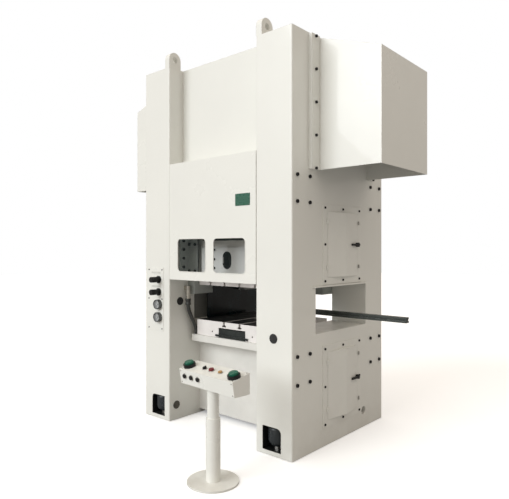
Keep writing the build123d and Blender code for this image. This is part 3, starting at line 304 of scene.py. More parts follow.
def rgba(colour, level=1.0):
    """A colour with full alpha, made lighter or darker by a level."""
    return (colour[0] * level, colour[1] * level, colour[2] * level, 1.0)


def surface(name, colour, rough, metal=0.0, patch=(1.5, 0.10), grain=(350.0, 0.10, 0.003),
            stretch=1.0, wear=None, dust=None, rough_swing=0.12, coat=0.0, specular=0.5, shade_zones=()):
    """A finish: a colour in soft patches, with grain, worn edges and dust as asked.

    patch is (size, depth) and grain is (size, depth, edge), drawn out along Y where stretch
    is under one. wear is (colour, width, amount), dust is (colour, height, amount, ledges) and
    each shade zone is (low, high, colour): a box, mirrored in X and Y, of painted shade.
    """
    made = bpy.data.materials.new(name)
    made.use_nodes = True
    tree = made.node_tree
    shader = tree.nodes["Principled BSDF"]
    patches = use_group(tree, groups["patches"], Size=patch[0], Depth=1.0).outputs["Mask"]
    shade = blend_colour(tree, patches, rgba(colour, 1.0 - patch[1]), rgba(colour, 1.0))
    gloss = add_node(tree, "ShaderNodeMapRange", {
        "Value": patches, "To Min": rough + rough_swing / 2, "To Max": rough - rough_swing / 2})
    gloss = gloss.outputs["Result"]
    if wear:
        mask = use_group(tree, groups["wear"], Width=wear[1], Amount=wear[2]).outputs["Mask"]
        shade = blend_colour(tree, mask, shade, rgba(wear[0]))
    if dust:
        mask = use_group(tree, groups["dust"], Height=dust[1], Amount=dust[2],
                         Ledges=dust[3]).outputs["Mask"]
        shade = blend_colour(tree, mask, shade, rgba(dust[0]))
        duller = add_node(tree, "ShaderNodeMath", {0: mask, 1: 0.35, 2: gloss},
                          operation="MULTIPLY_ADD", use_clamp=True)
        gloss = duller.outputs["Value"]
    # Painted shade: each mirrored box is filled with its near-black colour.
    for low, high, own in shade_zones:
        mask = use_group(tree, groups["zone"], Low=low, High=high).outputs["Mask"]
        shade = blend_colour(tree, mask, shade, rgba(own))
    relief = use_group(tree, groups["grain"], Size=grain[0], Depth=grain[1], Edge=grain[2],
                       Stretch=stretch)
    tree.links.new(shade, shader.inputs["Base Color"])
    tree.links.new(gloss, shader.inputs["Roughness"])
    tree.links.new(relief.outputs["Normal"], shader.inputs["Normal"])
    shader.inputs["Metallic"].default_value = metal
    shader.inputs["Coat Weight"].default_value = coat
    shader.inputs["Specular IOR Level"].default_value = specular
    finishes[name] = made


def clear_sheet(name, colour, alpha, rough):
    """A clear or smoked sheet: a plain shader with alpha and fine scratches."""
    made = bpy.data.materials.new(name)
    made.use_nodes = True
    tree = made.node_tree
    shader = tree.nodes["Principled BSDF"]
    patches = use_group(tree, groups["patches"], Size=9.0, Depth=0.08).outputs["Mask"]
    tree.links.new(maths(tree, "ADD", patches, rough), shader.inputs["Roughness"])
    shader.inputs["Base Color"].default_value = rgba(colour)
    shader.inputs["Alpha"].default_value = alpha
    finishes[name] = made


def bare_on_top(name, side_name):
    """A copy of a finish that turns to bare machined steel on level faces."""
    made = finishes[side_name].copy()
    made.name = name
    tree = made.node_tree
    shader = tree.nodes["Principled BSDF"]
    mask = maths(tree, "GREATER_THAN", maths(tree, "ABSOLUTE", face_up(tree)), 0.9)
    painted = shader.inputs["Base Color"].links[0].from_socket
    steel = use_group(tree, groups["patches"], Size=6.0, Depth=1.0).outputs["Mask"]
    colour = bpy.context.scene.press_colours.machined
    bare = blend_colour(tree, steel, rgba(colour, 0.12), rgba(colour, 0.35))
    tree.links.new(blend_colour(tree, mask, painted, bare), shader.inputs["Base Color"])
    tree.links.new(mask, shader.inputs["Metallic"])
    finishes[name] = made


def dress(material, *nodes):
    """Gives CAD nodes a finish."""
    for name in nodes:
        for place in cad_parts[name].material_slots:
            place.material = finishes[material]


# Small builders for pieces

def piece(name, mesh, material, body):
    """A finished piece at the origin that rides on a body."""
    made = bpy.data.objects.new(name, mesh)
    bpy.context.scene.collection.objects.link(made)
    if material:
        mesh.materials.clear()
        mesh.materials.append(finishes[material])
    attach(made, body)
    return made


def mesh_of(form, name):
    """Closes a bmesh into a mesh with its faces pointing outwards."""
    bmesh.ops.remove_doubles(form, verts=form.verts, dist=1e-6)
    bmesh.ops.recalc_face_normals(form, faces=form.faces)
    made = bpy.data.meshes.new(name)
    form.to_mesh(made)
    form.free()
    return made


def soft_block(form, low, high, round_edge, steps=2):
    """Adds a block between two corners with rounded edges."""
    size = [b - a for a, b in zip(low, high)]
    centre = Vector([(a + b) / 2 for a, b in zip(low, high)])
    got = bmesh.ops.create_cube(form, size=1.0)["verts"]
    for vert in got:
        vert.co = centre + Vector([vert.co[i] * size[i] for i in range(3)])
    edges = {edge for vert in got for edge in vert.link_edges}
    bmesh.ops.bevel(form, geom=list(edges), offset=round_edge, segments=steps, affect="EDGES",
                    profile=0.5)


def turned(form, profile, seat, sides=32):
    """Adds a closed turned shape: profile is (radius, height) pairs from axis to axis."""
    rings = []
    for radius, height in profile:
        if radius == 0:
            rings.append([form.verts.new(seat @ Vector((0, 0, height)))])
            continue
        ring = []
        for step in range(sides):
            angle = 2 * math.pi * step / sides
            spot = Vector((radius * math.cos(angle), radius * math.sin(angle), height))
            ring.append(form.verts.new(seat @ spot))
        rings.append(ring)
    for low, high in zip(rings, rings[1:]):
        for step in range(sides):
            after = (step + 1) % sides
            corners = [low[step % len(low)], low[after % len(low)],
                       high[after % len(high)], high[step % len(high)]]
            corners = list(dict.fromkeys(corners))
            if len(corners) > 2:
                form.faces.new(corners)
    if len(rings[0]) > 1 and len(rings[-1]) > 1 and profile[0] == profile[-1]:
        return
    for ring in (rings[0], rings[-1]):
        if len(ring) > 1:
            form.faces.new(ring)


def seat_at(place, way):
    """A matrix that stands a shape on a place with its Z along a way."""
    turn = Vector(way).to_track_quat("Z", "Y").to_matrix().to_4x4()
    return Matrix.Translation(place) @ turn


def screw_mesh(name):
    """One socket head screw of unit head radius, seen from outside only."""
    form = bmesh.new()
    turned(form, [(0, 0), (1.0, 0), (1.0, 0.72), (0.9, 0.85), (0.58, 0.85), (0.52, 0.80),
                  (0.50, 0.30), (0, 0.30)], Matrix.Identity(4), sides=12)
    return mesh_of(form, name)


def copies_tree():
    """Geometry Nodes: a copy of a piece on each point, turned and sized, in one material."""
    tree = bpy.data.node_groups.new("Copies on points", "GeometryNodeTree")
    face = tree.interface
    face.new_socket("Points", in_out="INPUT", socket_type="NodeSocketGeometry")
    face.new_socket("Piece", in_out="INPUT", socket_type="NodeSocketObject")
    face.new_socket("Size", in_out="INPUT", socket_type="NodeSocketFloat").default_value = 1.0
    face.new_socket("Finish", in_out="INPUT", socket_type="NodeSocketMaterial")
    face.new_socket("Copies", in_out="OUTPUT", socket_type="NodeSocketGeometry")
    get = tree.nodes.new("NodeGroupInput")
    put = tree.nodes.new("NodeGroupOutput")
    source = add_node(tree, "GeometryNodeObjectInfo", {"Object": get.outputs["Piece"]})
    turn = add_node(tree, "GeometryNodeInputNamedAttribute", {"Name": "turn"},
                    data_type="FLOAT_VECTOR")
    spin = add_node(tree, "FunctionNodeEulerToRotation", {"Euler": turn.outputs["Attribute"]})
    placed = add_node(tree, "GeometryNodeInstanceOnPoints", {
        "Points": get.outputs["Points"], "Instance": source.outputs["Geometry"],
        "Rotation": spin.outputs["Rotation"], "Scale": get.outputs["Size"]})
    real = add_node(tree, "GeometryNodeRealizeInstances", {
        "Geometry": placed.outputs["Instances"]})
    done = add_node(tree, "GeometryNodeSetMaterial", {
        "Geometry": real.outputs["Geometry"], "Material": get.outputs["Finish"]})
    tree.links.new(done.outputs["Geometry"], put.inputs["Copies"])
    return tree


def copies(name, spots, pattern, size, material, body):
    """A mesh of copies of a pattern mesh; spots are (place, euler) pairs."""
    if "copies" not in groups:
        groups["copies"] = copies_tree()
    tree = groups["copies"]
    points = bpy.data.meshes.new(name)
    points.from_pydata([tuple(place) for place, turn in spots], [], [])
    held = points.attributes.new("turn", "FLOAT_VECTOR", "POINT")
    for entry, (place, turn) in zip(held.data, spots):
        entry.vector = tuple(turn)
    carrier = bpy.data.objects.new(name, points)
    source = bpy.data.objects.new(name + "_pattern", pattern)
    for made in (carrier, source):
        bpy.context.scene.collection.objects.link(made)
    modifier = carrier.modifiers.new("Copies", "NODES")
    modifier.node_group = tree
    sockets = {item.name: item.identifier for item in tree.interface.items_tree
               if item.in_out == "INPUT"}
    modifier[sockets["Piece"]] = source
    modifier[sockets["Size"]] = size
    modifier[sockets["Finish"]] = finishes[material]
    view = bpy.context.evaluated_depsgraph_get()
    real = bpy.data.meshes.new_from_object(carrier.evaluated_get(view))
    carrier.modifiers.remove(modifier)
    bpy.data.objects.remove(carrier)
    bpy.data.objects.remove(source)
    real.name = name
    piece(name, real, None, body)


def facing(way):
    """The Euler turn that points Z along a way."""
    return Vector(way).to_track_quat("Z", "Y").to_matrix().to_euler()


# Places on the press, as the CAD has them

window_middles = (-0.240, 0.240)
window_height = 1.597
window_half = (0.1875, 0.150)
window_corner = 0.035
pane_half = (0.2025, 0.165)
dial_x = -0.705
gauge_heights = (1.116, 0.992)
gauge_front = -0.765
regulator_heights = (1.358, 1.237)
regulator_front = -0.752
shaft_height = 2.700
rim_screw_reach = 0.280
door_ends = ((1.417, 1.970), (0.215, 0.785))
hose_top = (-0.500, -0.535, 1.112)
hose_bottom = (-0.494, -0.430, 0.815)


# The console's own axes, as the CAD has them

console_foot = Vector((0.695, -1.360, 0.0))
console_depth = 0.160
console_front = 0.771
console_rear = 0.809
console_chin = 0.662
console_chin_set_back = 0.019
console_turn = math.radians(-3.9)
across = Vector((math.cos(console_turn), math.sin(console_turn), 0))
back = Vector((-math.sin(console_turn), math.cos(console_turn), 0))
top_slope = math.atan2(console_rear - console_front, console_depth)
front_lean = math.atan2(console_chin_set_back, console_front - console_chin)
top_way = back * -math.sin(top_slope) + Vector((0, 0, math.cos(top_slope)))
front_way = back * -math.cos(front_lean) + Vector((0, 0, -math.sin(front_lean)))


def on_top(u, s):
    """A place on the console's sloping top."""
    run = back * (s * math.cos(top_slope) - console_depth / 2)
    rise = Vector((0, 0, console_front + s * math.sin(top_slope)))
    return console_foot + across * u + run + rise


def on_front(u, drop):
    """A place on the console's front panel."""
    run = back * (drop * math.sin(front_lean) - console_depth / 2)
    rise = Vector((0, 0, console_front - drop * math.cos(front_lean)))
    return console_foot + across * u + run + rise


# Which CAD nodes wear which finish

worn = {
    "column enamel": ("left_column", "right_column", "crown"),
    "sheet enamel": ("front_cover", "rear_cover", "left_hood", "right_hood", "motor_bracket",
            "left_access_covers", "pedestal", "console_box"),
    "slide enamel": ("slide",),
    "bed enamel": ("bed",),
    "door enamel": ("door_frames", "upper_door", "lower_door"),
    "bolster finish": ("bolster", "slide_plate"),
    "machined steel": ("brake_disc", "motor_pulley", "rail_bracket"),
    "plate steel": ("slide_face_plate",),
    "guide steel": ("gib_blocks",),
    "grey sheet": ("left_guard_panel",),
    "isolator rubber": ("foot_isolators",),
    "dark casting": ("shaft_bearings", "brake_caliper", "crankshaft", "flywheel",
            "left_connecting_rod", "right_connecting_rod"),
    "motor enamel": ("drive_motor",),
    "black screw": ("cap_screws",),
    "zinc plate": ("levelling_bolts",),
    "black rubber": ("rubber_mounts", "drive_belt", "hole_plugs"),
    "hose rubber": ("air_hose",),
    "fitting metal": ("hose_fitting",),
    "rail paint": ("outfeed_rail",),
    "tray steel": ("scrap_tray",),
    "panel enamel": ("instrument_panel",),
    "gauge metal": ("gauge_cases",),
    "clear lens": ("gauge_lenses",),
    "dial ink": ("upper_gauge_needle", "lower_gauge_needle"),
    "black moulding": ("regulator_bodies", "upper_regulator_knob", "lower_regulator_knob",
            "upper_door_handle", "lower_door_handle", "palm_button_shrouds", "selector_knob",
            "left_front_button", "middle_front_button", "right_front_button"),
    "plate green": ("nameplate",),
    "smoked guard": ("left_side_guard",),
    "green cap": ("left_palm_button", "right_palm_button"),
    "red cap": ("red_button",),
    "yellow cap": ("yellow_button",),
}


class PRESS_OT_finishes(bpy.types.Operator):
    """Makes every finish and gives each solid of the model its own"""

    bl_idname = "press.finishes"
    bl_label = "Finishes"

    def execute(self, context):
        colours = context.scene.press_colours
        sizes = context.scene.press_sizes
        groups["patches"] = make_patches()
        groups["grain"] = make_grain()
        groups["wear"] = make_wear()
        groups["dust"] = make_dust()
        groups["zone"] = make_zone()
        edge = sizes.edge_round
        primer = (0.42, 0.40, 0.36)
        bare = (0.30, 0.30, 0.30)
        # The mirrored box below is painted shade: near black inside the four foot pockets.
        surface("column enamel", colours.enamel, 0.34, patch=(0.9, 0.045),
                grain=(160.0, 0.16, edge), wear=(primer, 0.005, 0.35),
                dust=(colours.dust, 0.55, 0.16, 0.25), coat=0.25,
                shade_zones=[((0.6195, 0.529, 0.0378), (0.8105, 0.7275, 0.2305), colours.painted_shade)])
        surface("sheet enamel", colours.enamel, 0.30, patch=(1.4, 0.035),
                grain=(220.0, 0.12, edge * 0.7), wear=(primer, 0.003, 0.30),
                dust=(colours.dust, 0.30, 0.10, 0.22), coat=0.3)
        surface("bed enamel", colours.enamel_inside, 0.42, patch=(3.0, 0.10),
                grain=(180.0, 0.2, edge), wear=(bare, 0.004, 0.5),
                dust=(colours.dust, 0.9, 0.12, 0.3))
        # Painted shade: near black on the slide's face behind the slot of its face plate, and on a
        # band at the top of the slide's front under the cover.
        surface("slide enamel", colours.enamel_inside, 0.42, patch=(3.0, 0.10),
                grain=(180.0, 0.2, edge), wear=(bare, 0.004, 0.5),
                shade_zones=[((0.0, 0.4295, 1.460), (0.056, 0.4897, 1.645), colours.painted_shade),
                       ((0.0, 0.45, 1.734), (0.345, 0.495, 1.885), colours.painted_shade)])
        surface("door enamel", colours.enamel, 0.38, patch=(2.5, 0.05),
                grain=(260.0, 0.14, edge * 0.5), wear=(primer, 0.002, 0.45),
                dust=(colours.dust, 0.50, 0.14, 0.2), coat=0.15)
        surface("machined steel", colours.machined, 0.34, metal=1.0, patch=(7.0, 0.22),
                grain=(500.0, 0.22, 0.0012), stretch=0.08, wear=((0.62, 0.62, 0.62), 0.002, 0.7),
                rough_swing=0.2)
        surface("pale machined steel", (0.83, 0.80, 0.78), 0.40, metal=0.25, patch=(6.0, 0.10),
                grain=(600.0, 0.2, 0.0012), stretch=0.1, wear=((0.86, 0.86, 0.86), 0.002, 0.7),
                rough_swing=0.15)
        # Painted shade: near black on the walls of the slot in the face plate.
        surface("plate steel", (0.78, 0.79, 0.77), 0.42, metal=0.1, patch=(5.0, 0.12),
                grain=(500.0, 0.2, 0.0012), stretch=0.1, wear=((0.7, 0.7, 0.7), 0.002, 0.7),
                rough_swing=0.15,
                shade_zones=[((0.0, 0.4898, 1.460), (0.0549, 0.5047, 1.645), colours.painted_shade)])
        # Painted shade: near black on the part of the gib blocks that stands between the slide and
        # the columns, where shade falls.
        surface("guide steel", (0.44, 0.47, 0.45), 0.45, metal=0.1, patch=(6.0, 0.2),
                grain=(400.0, 0.25, 0.0012), wear=((0.6, 0.6, 0.6), 0.002, 0.6),
                shade_zones=[((0.340, 0.20, 1.20), (0.401, 0.505, 1.81), colours.painted_shade)])
        surface("grey sheet", (0.20, 0.205, 0.19), 0.4, patch=(4.0, 0.12),
                grain=(300.0, 0.15, 0.001), wear=(bare, 0.002, 0.5))
        surface("dark casting", colours.casting, 0.48, metal=0.7, patch=(9.0, 0.35),
                grain=(320.0, 0.5, 0.002), wear=((0.35, 0.35, 0.34), 0.002, 0.8))
        surface("motor enamel", (0.06, 0.09, 0.12), 0.4, patch=(8.0, 0.2),
                grain=(240.0, 0.4, 0.0015), wear=(bare, 0.002, 0.5))
        surface("black screw", (0.010, 0.010, 0.011), 0.45, patch=(60.0, 0.3),
                grain=(900.0, 0.2, 0.0008), wear=((0.10, 0.10, 0.10), 0.001, 0.5),
                specular=0.3)
        surface("zinc plate", (0.52, 0.51, 0.48), 0.36, metal=1.0, patch=(35.0, 0.25),
                grain=(700.0, 0.2, 0.001))
        surface("black rubber", (0.018, 0.018, 0.018), 0.72, patch=(20.0, 0.3),
                grain=(500.0, 0.4, 0.002), dust=(colours.dust, 0.3, 0.5, 0.4))
        surface("isolator rubber", (0.022, 0.028, 0.032), 0.3, patch=(9.0, 0.4),
                grain=(300.0, 0.2, 0.003))
        surface("hose rubber", (0.05, 0.052, 0.048), 0.45, patch=(25.0, 0.3),
                grain=(600.0, 0.3, 0.001), dust=(colours.dust, 1.0, 0.25, 0.1))
        surface("fitting metal", (0.66, 0.63, 0.56), 0.3, metal=1.0, patch=(40.0, 0.3),
                grain=(500.0, 0.2, 0.0015))
        surface("rail paint", colours.rail, 0.42, metal=0.2, patch=(9.0, 0.35),
                grain=(320.0, 0.3, 0.0015), stretch=0.1, wear=((0.30, 0.31, 0.29), 0.003, 0.9))
        surface("black moulding", (0.008, 0.008, 0.009), 0.42, patch=(30.0, 0.25),
                grain=(800.0, 0.3, 0.0012), wear=((0.06, 0.06, 0.06), 0.001, 0.6),
                specular=0.3)
        surface("tray steel", (0.035, 0.042, 0.040), 0.45, metal=0.5, patch=(15.0, 0.5),
                grain=(420.0, 0.3, 0.001), wear=((0.28, 0.28, 0.26), 0.002, 0.8))
        surface("panel enamel", colours.enamel, 0.32, patch=(5.0, 0.05),
                grain=(500.0, 0.12, 0.0008), wear=(primer, 0.0012, 0.4))
        surface("gauge metal", (0.13, 0.135, 0.135), 0.26, metal=1.0, patch=(50.0, 0.25),
                grain=(900.0, 0.1, 0.001))
        surface("dial grey", (0.30, 0.31, 0.30), 0.55, patch=(40.0, 0.06),
                grain=(900.0, 0.1, 0.0003))
        surface("dial ink", (0.02, 0.02, 0.02), 0.5, patch=(60.0, 0.2),
                grain=(900.0, 0.05, 0.0002))
        surface("green cap", colours.green, 0.3, patch=(30.0, 0.15),
                grain=(900.0, 0.05, 0.002), specular=0.4)
        surface("red cap", colours.red, 0.3, patch=(30.0, 0.15),
                grain=(900.0, 0.05, 0.001), specular=0.4)
        surface("yellow cap", colours.yellow, 0.3, patch=(30.0, 0.15),
                grain=(900.0, 0.05, 0.001), specular=0.4)
        surface("plate green", colours.plate, 0.3, metal=0.3, patch=(40.0, 0.2),
                grain=(700.0, 0.1, 0.0006))
        surface("label white", (0.66, 0.66, 0.62), 0.45, patch=(30.0, 0.1),
                grain=(700.0, 0.05, 0.0004))
        clear_sheet("clear lens", (0.9, 0.93, 0.95), 0.12, 0.03)
        clear_sheet("window pane", (0.05, 0.07, 0.07), 0.09, 0.06)
        # The dark teal is the guard's own smoked tint; the deep soft patches laid over it are
        # painted reflection.
        surface("smoked guard", (0.006, 0.018, 0.022), 0.16, patch=(5.0, 0.85),
                grain=(60.0, 0.05, 0.001), rough_swing=0.1, specular=0.25)
        bare_on_top("bolster finish", "pale machined steel")

        for material, names in worn.items():
            dress(material, *names)
        return {"FINISHED"}


class PRESS_OT_windows(bpy.types.Operator):
    """Puts a clear pane behind each window of the front cover and a bead round it"""

    bl_idname = "press.windows"
    bl_label = "Windows"

    def execute(self, context):
        bead = context.scene.press_sizes.bead_width
        panes = bmesh.new()
        beads = bmesh.new()
        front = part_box("front_cover")[0][1]
        for centre in window_middles:
            soft_block(panes, (centre - pane_half[0], front + 0.0052, window_height - pane_half[1]),
                       (centre + pane_half[0], front + 0.0092, window_height + pane_half[1]),
                       0.0012)
            outline = []
            for corner_x, corner_z, start in ((1, 1, 0), (-1, 1, 90), (-1, -1, 180), (1, -1, 270)):
                for step in range(9):
                    angle = math.radians(start + step * 90 / 8)
                    outline.append(Vector((
                        centre + corner_x * (window_half[0] - window_corner)
                        + window_corner * math.cos(angle), 0,
                        window_height + corner_z * (window_half[1] - window_corner)
                        + window_corner * math.sin(angle))))
            loops = []
            middle = Vector((centre, 0, window_height))
            for spread, out in ((0.0, 0.0), (0.0, -0.0012), (0.25, -0.0022), (0.75, -0.0022),
                                (1.0, -0.001), (1.0, 0.0)):
                loop = []
                for index, spot in enumerate(outline):
                    ahead = outline[(index + 1) % len(outline)]
                    behind = outline[index - 1]
                    along = (ahead - behind).normalized()
                    outward = Vector((along.z, 0, -along.x))
                    if outward.dot(spot - middle) < 0:
                        outward = -outward
                    loop.append(beads.verts.new(spot + outward * bead * spread
                                                + Vector((0, front + out, 0))))
                loops.append(loop)
            for first, second in zip(loops, loops[1:] + loops[:1]):
                for index in range(len(outline)):
                    after = (index + 1) % len(outline)
                    beads.faces.new((first[index], first[after], second[after], second[index]))
        piece("window_panes", mesh_of(panes, "window_panes"), "window pane", "frame")
        piece("window_beads", mesh_of(beads, "window_beads"), "sheet enamel", "frame")
        return {"FINISHED"}


class PRESS_OT_screws(bpy.types.Operator):
    """Adds the screws of the slide, nameplate, console and flywheel rim"""

    bl_idname = "press.screws"
    bl_label = "Screws"

    def execute(self, context):
        sizes = context.scene.press_sizes
        pattern = screw_mesh("screw")
        ahead = facing((0, -1, 0))
        low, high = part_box("slide_face_plate")
        spots = [((x, low[1], z), ahead) for x in (-0.163, 0.315)
                 for z in (1.395, 1.477, 1.560, 1.648)]
        copies("face_plate_screws", spots, pattern.copy(), sizes.plate_screw, "black screw",
               "slide")
        low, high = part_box("slide_plate")
        spots = [((x, low[1], 1.357), ahead) for x in (-0.39, -0.19, 0.0, 0.19, 0.39)]
        copies("slide_plate_screws", spots, pattern.copy(), sizes.plate_screw * 0.8,
               "black screw", "slide")
        low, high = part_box("nameplate")
        spots = [((x, low[1], z), ahead) for x in (low[0] + 0.008, high[0] - 0.008)
                 for z in (low[2] + 0.008, high[2] - 0.008)]
        copies("nameplate_rivets", spots, pattern.copy(), 0.0028, "zinc plate", "frame")
        spots = []
        for u in (-0.276, 0.276):
            for s in (0.014, 0.150):
                spots.append((on_top(u, s), facing(top_way)))
            for drop in (0.014, 0.096):
                spots.append((on_front(u, drop), facing(front_way)))
        copies("console_screws", spots, pattern.copy(), sizes.small_screw, "zinc plate", "frame")
        low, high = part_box("flywheel")
        spots = []
        for step in range(8):
            angle = step * math.pi / 4
            place = (high[0], rim_screw_reach * math.cos(angle),
                     shaft_height + rim_screw_reach * math.sin(angle))
            spots.append((place, facing((1, 0, 0))))
        copies("flywheel_rim_screws", spots, pattern.copy(), 0.011, "black screw", "flywheel")
        return {"FINISHED"}


class PRESS_OT_gauges(bpy.types.Operator):
    """Draws the two dials with their marks and numbers and a bezel ring on each gauge"""

    bl_idname = "press.gauges"
    bl_label = "Gauges"

    def execute(self, context):
        ticks = context.scene.press_sizes.dial_ticks
        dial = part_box("gauge_cases")[1][1] - 0.010
        tick_reach = 0.0365
        number_reach = 0.0285
        faces = bmesh.new()
        rings = bmesh.new()
        numbers = []
        short = []
        for height in gauge_heights:
            turned(faces, [(0.0019, 0), (0.0412, 0), (0.0412, 0.0008), (0.0019, 0.0008),
                           (0.0019, 0)], seat_at((dial_x, dial, height), (0, -1, 0)), sides=48)
            turned(rings, [(0.0420, -0.003), (0.0455, -0.003), (0.0470, -0.0012), (0.0472, 0.0),
                           (0.0420, 0.0), (0.0420, -0.003)],
                   seat_at((dial_x, gauge_front, height), (0, 1, 0)), sides=64)
            for step in range(ticks):
                angle = math.radians(225 - 270 * step / (ticks - 1))
                spot = (dial_x + tick_reach * math.cos(angle), dial - 0.0010,
                        height + tick_reach * math.sin(angle))
                short.append((spot, Euler((0, -angle, 0))))
            for step in range(6):
                angle = math.radians(225 - 54 * step)
                spot = Vector((dial_x + number_reach * math.cos(angle), dial - 0.0009,
                               height + number_reach * math.sin(angle)))
                numbers.append((str(step * 2), spot))
        piece("gauge_dials", mesh_of(faces, "gauge_dials"), "dial grey", "frame")
        piece("gauge_bezels", mesh_of(rings, "gauge_bezels"), "gauge metal", "frame")
        bar = bmesh.new()
        soft_block(bar, (-0.0026, -0.0002, -0.00035), (0.0026, 0.0002, 0.00035), 0.00008, 1)
        copies("dial_ticks", short, mesh_of(bar, "tick"), 1.0, "dial ink", "frame")
        drawn = bmesh.new()
        for text, spot in numbers:
            curve = bpy.data.curves.new("number", "FONT")
            curve.body = text
            curve.size = 0.0085
            curve.extrude = 0.00015
            curve.align_x = "CENTER"
            curve.align_y = "CENTER"
            writing = bpy.data.objects.new("number", curve)
            context.scene.collection.objects.link(writing)
            view = context.evaluated_depsgraph_get()
            flat = bpy.data.meshes.new_from_object(writing.evaluated_get(view))
            flat.transform(Matrix.Translation(spot) @ Matrix.Rotation(math.pi / 2, 4, "X"))
            drawn.from_mesh(flat)
            bpy.data.objects.remove(writing)
        piece("dial_numbers", mesh_of(drawn, "dial_numbers"), "dial ink", "frame")
        return {"FINISHED"}


class PRESS_OT_panel_fittings(bpy.types.Operator):
    """Adds the plain label strips above the regulators and a collar round each spindle"""

    bl_idname = "press.panel_fittings"
    bl_label = "Panel fittings"

    def execute(self, context):
        strips = bmesh.new()
        for height in (1.425, 1.290):
            soft_block(strips, (-0.818, -0.7345, height - 0.009),
                       (-0.683, -0.7330, height + 0.009), 0.0006)
        piece("label_strips", mesh_of(strips, "label_strips"), "label white", "frame")
        collars = bmesh.new()
        for height in regulator_heights:
            turned(collars, [(0.0202, 0), (0.0245, 0), (0.0255, 0.001), (0.0255, 0.006),
                             (0.0245, 0.007), (0.0202, 0.007), (0.0202, 0)],
                   seat_at((dial_x, regulator_front, height), (0, -1, 0)), sides=40)
        piece("regulator_collars", mesh_of(collars, "regulator_collars"), "black moulding",
              "frame")
        return {"FINISHED"}


class PRESS_OT_console_fittings(bpy.types.Operator):
    """Adds the rings round the console's buttons"""

    bl_idname = "press.console_fittings"
    bl_label = "Console fittings"

    def execute(self, context):
        rings = bmesh.new()
        small = [(on_top(-0.010, 0.076), top_way, 0.019), (on_top(0.084, 0.076), top_way, 0.015),
                 (on_top(-0.085, 0.076), top_way, 0.0158)]
        small += [(on_front(u, 0.047), front_way, 0.016) for u in (-0.232, -0.157, -0.082)]
        for place, way, radius in small:
            hole = radius + 0.0007
            turned(rings, [(hole, 0), (hole + 0.0034, 0), (hole + 0.0034, 0.0016),
                           (hole + 0.0022, 0.0030), (hole, 0.0030), (hole, 0)],
                   seat_at(place, way), sides=40)
        piece("button_rings", mesh_of(rings, "button_rings"), "zinc plate", "frame")
        return {"FINISHED"}


class PRESS_OT_catches(bpy.types.Operator):
    """Adds the catches behind the rear edge of the two doors"""

    bl_idname = "press.catches"
    bl_label = "Door catches"

    def execute(self, context):
        catches = bmesh.new()
        for bottom, top in door_ends:
            for spot in (bottom + 0.080, top - 0.080):
                soft_block(catches, (0.926, 0.256, spot - 0.016), (0.938, 0.270, spot + 0.016),
                           0.003)
        piece("door_catches", mesh_of(catches, "door_catches"), "zinc plate", "frame")
        return {"FINISHED"}


class PRESS_OT_hose(bpy.types.Operator):
    """Makes the ribbed air hose that stands for its plain solid"""

    bl_idname = "press.hose"
    bl_label = "Air hose"

    def execute(self, context):
        pitch = context.scene.press_sizes.hose_pitch
        rib, groove = 0.0186, 0.0172
        sides = 28
        guide = bpy.data.curves.new("hose_guide", "CURVE")
        guide.dimensions = "3D"
        guide.resolution_u = 64
        line = guide.splines.new("BEZIER")
        line.bezier_points.add(1)
        start, end = Vector(hose_top), Vector(hose_bottom)
        bend = Vector((0, 0, 0.100))
        for point, place in zip(line.bezier_points, (start, end)):
            point.co = place
            point.handle_left = place + bend
            point.handle_right = place - bend
        carrier = bpy.data.objects.new("hose_guide", guide)
        context.scene.collection.objects.link(carrier)
        view = context.evaluated_depsgraph_get()
        walk = bpy.data.meshes.new_from_object(carrier.evaluated_get(view))
        spots = [vert.co.copy() for vert in walk.vertices]
        bpy.data.objects.remove(carrier)
        lengths = [0.0]
        for first, second in zip(spots, spots[1:]):
            lengths.append(lengths[-1] + (second - first).length)
        form = bmesh.new()
        rings = []
        count = int(lengths[-1] / (pitch / 4))
        index = 0
        for step in range(count + 1):
            far = lengths[-1] * step / count
            while index < len(spots) - 2 and lengths[index + 1] < far:
                index += 1
            share = (far - lengths[index]) / (lengths[index + 1] - lengths[index])
            centre = spots[index].lerp(spots[index + 1], share)
            along = (spots[index + 1] - spots[index]).normalized()
            side = along.cross(Vector((1, 0, 0))).normalized()
            other = along.cross(side)
            radius = rib if step % 4 in (0, 1) else groove
            ring = []
            for turn in range(sides):
                angle = 2 * math.pi * turn / sides
                ring.append(form.verts.new(
                    centre + (side * math.cos(angle) + other * math.sin(angle)) * radius))
            rings.append(ring)
        for low, high in zip(rings, rings[1:]):
            for turn in range(sides):
                after = (turn + 1) % sides
                form.faces.new((low[turn], low[after], high[after], high[turn]))
        form.faces.new(rings[0])
        form.faces.new(rings[-1])
        turned(form, [(0, 0), (0.0255, 0), (0.0268, 0.002), (0.0268, 0.014), (0.0235, 0.018),
                      (0.0235, 0.040), (0.0268, 0.044), (0.0268, 0.058), (0.0255, 0.060),
                      (0, 0.060)], seat_at((-0.500, -0.535, 1.110), (0, 0, 1)), sides=36)
        made = piece("ribbed_air_hose", mesh_of(form, "ribbed_air_hose"), "hose rubber",
                     "frame")
        for face in made.data.polygons:
            face.use_smooth = True
        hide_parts("air_hose")
        return {"FINISHED"}


def seen_directly(tree):
    """One where the camera sees a thing itself or through a clear sheet, else zero."""
    path = add_node(tree, "ShaderNodeLightPath")
    return maths(tree, "MAXIMUM", path.outputs["Is Camera Ray"],
                 path.outputs["Is Transmission Ray"])


# The camera of the photograph, the floor and the lamp

camera_place = (3.3633, -3.9626, 1.6508)
camera_turn = 41.192
focal_length = 36.97
sensor_width = 36
floor_reach = 30
floor_glow = 0.30
sky_tint = (1.0, 0.915, 0.82)
lamp_tint = (0.93, 0.97, 1.0)
lamp_way = (0.24, 0.85, -0.42)
lamp_spread = 40


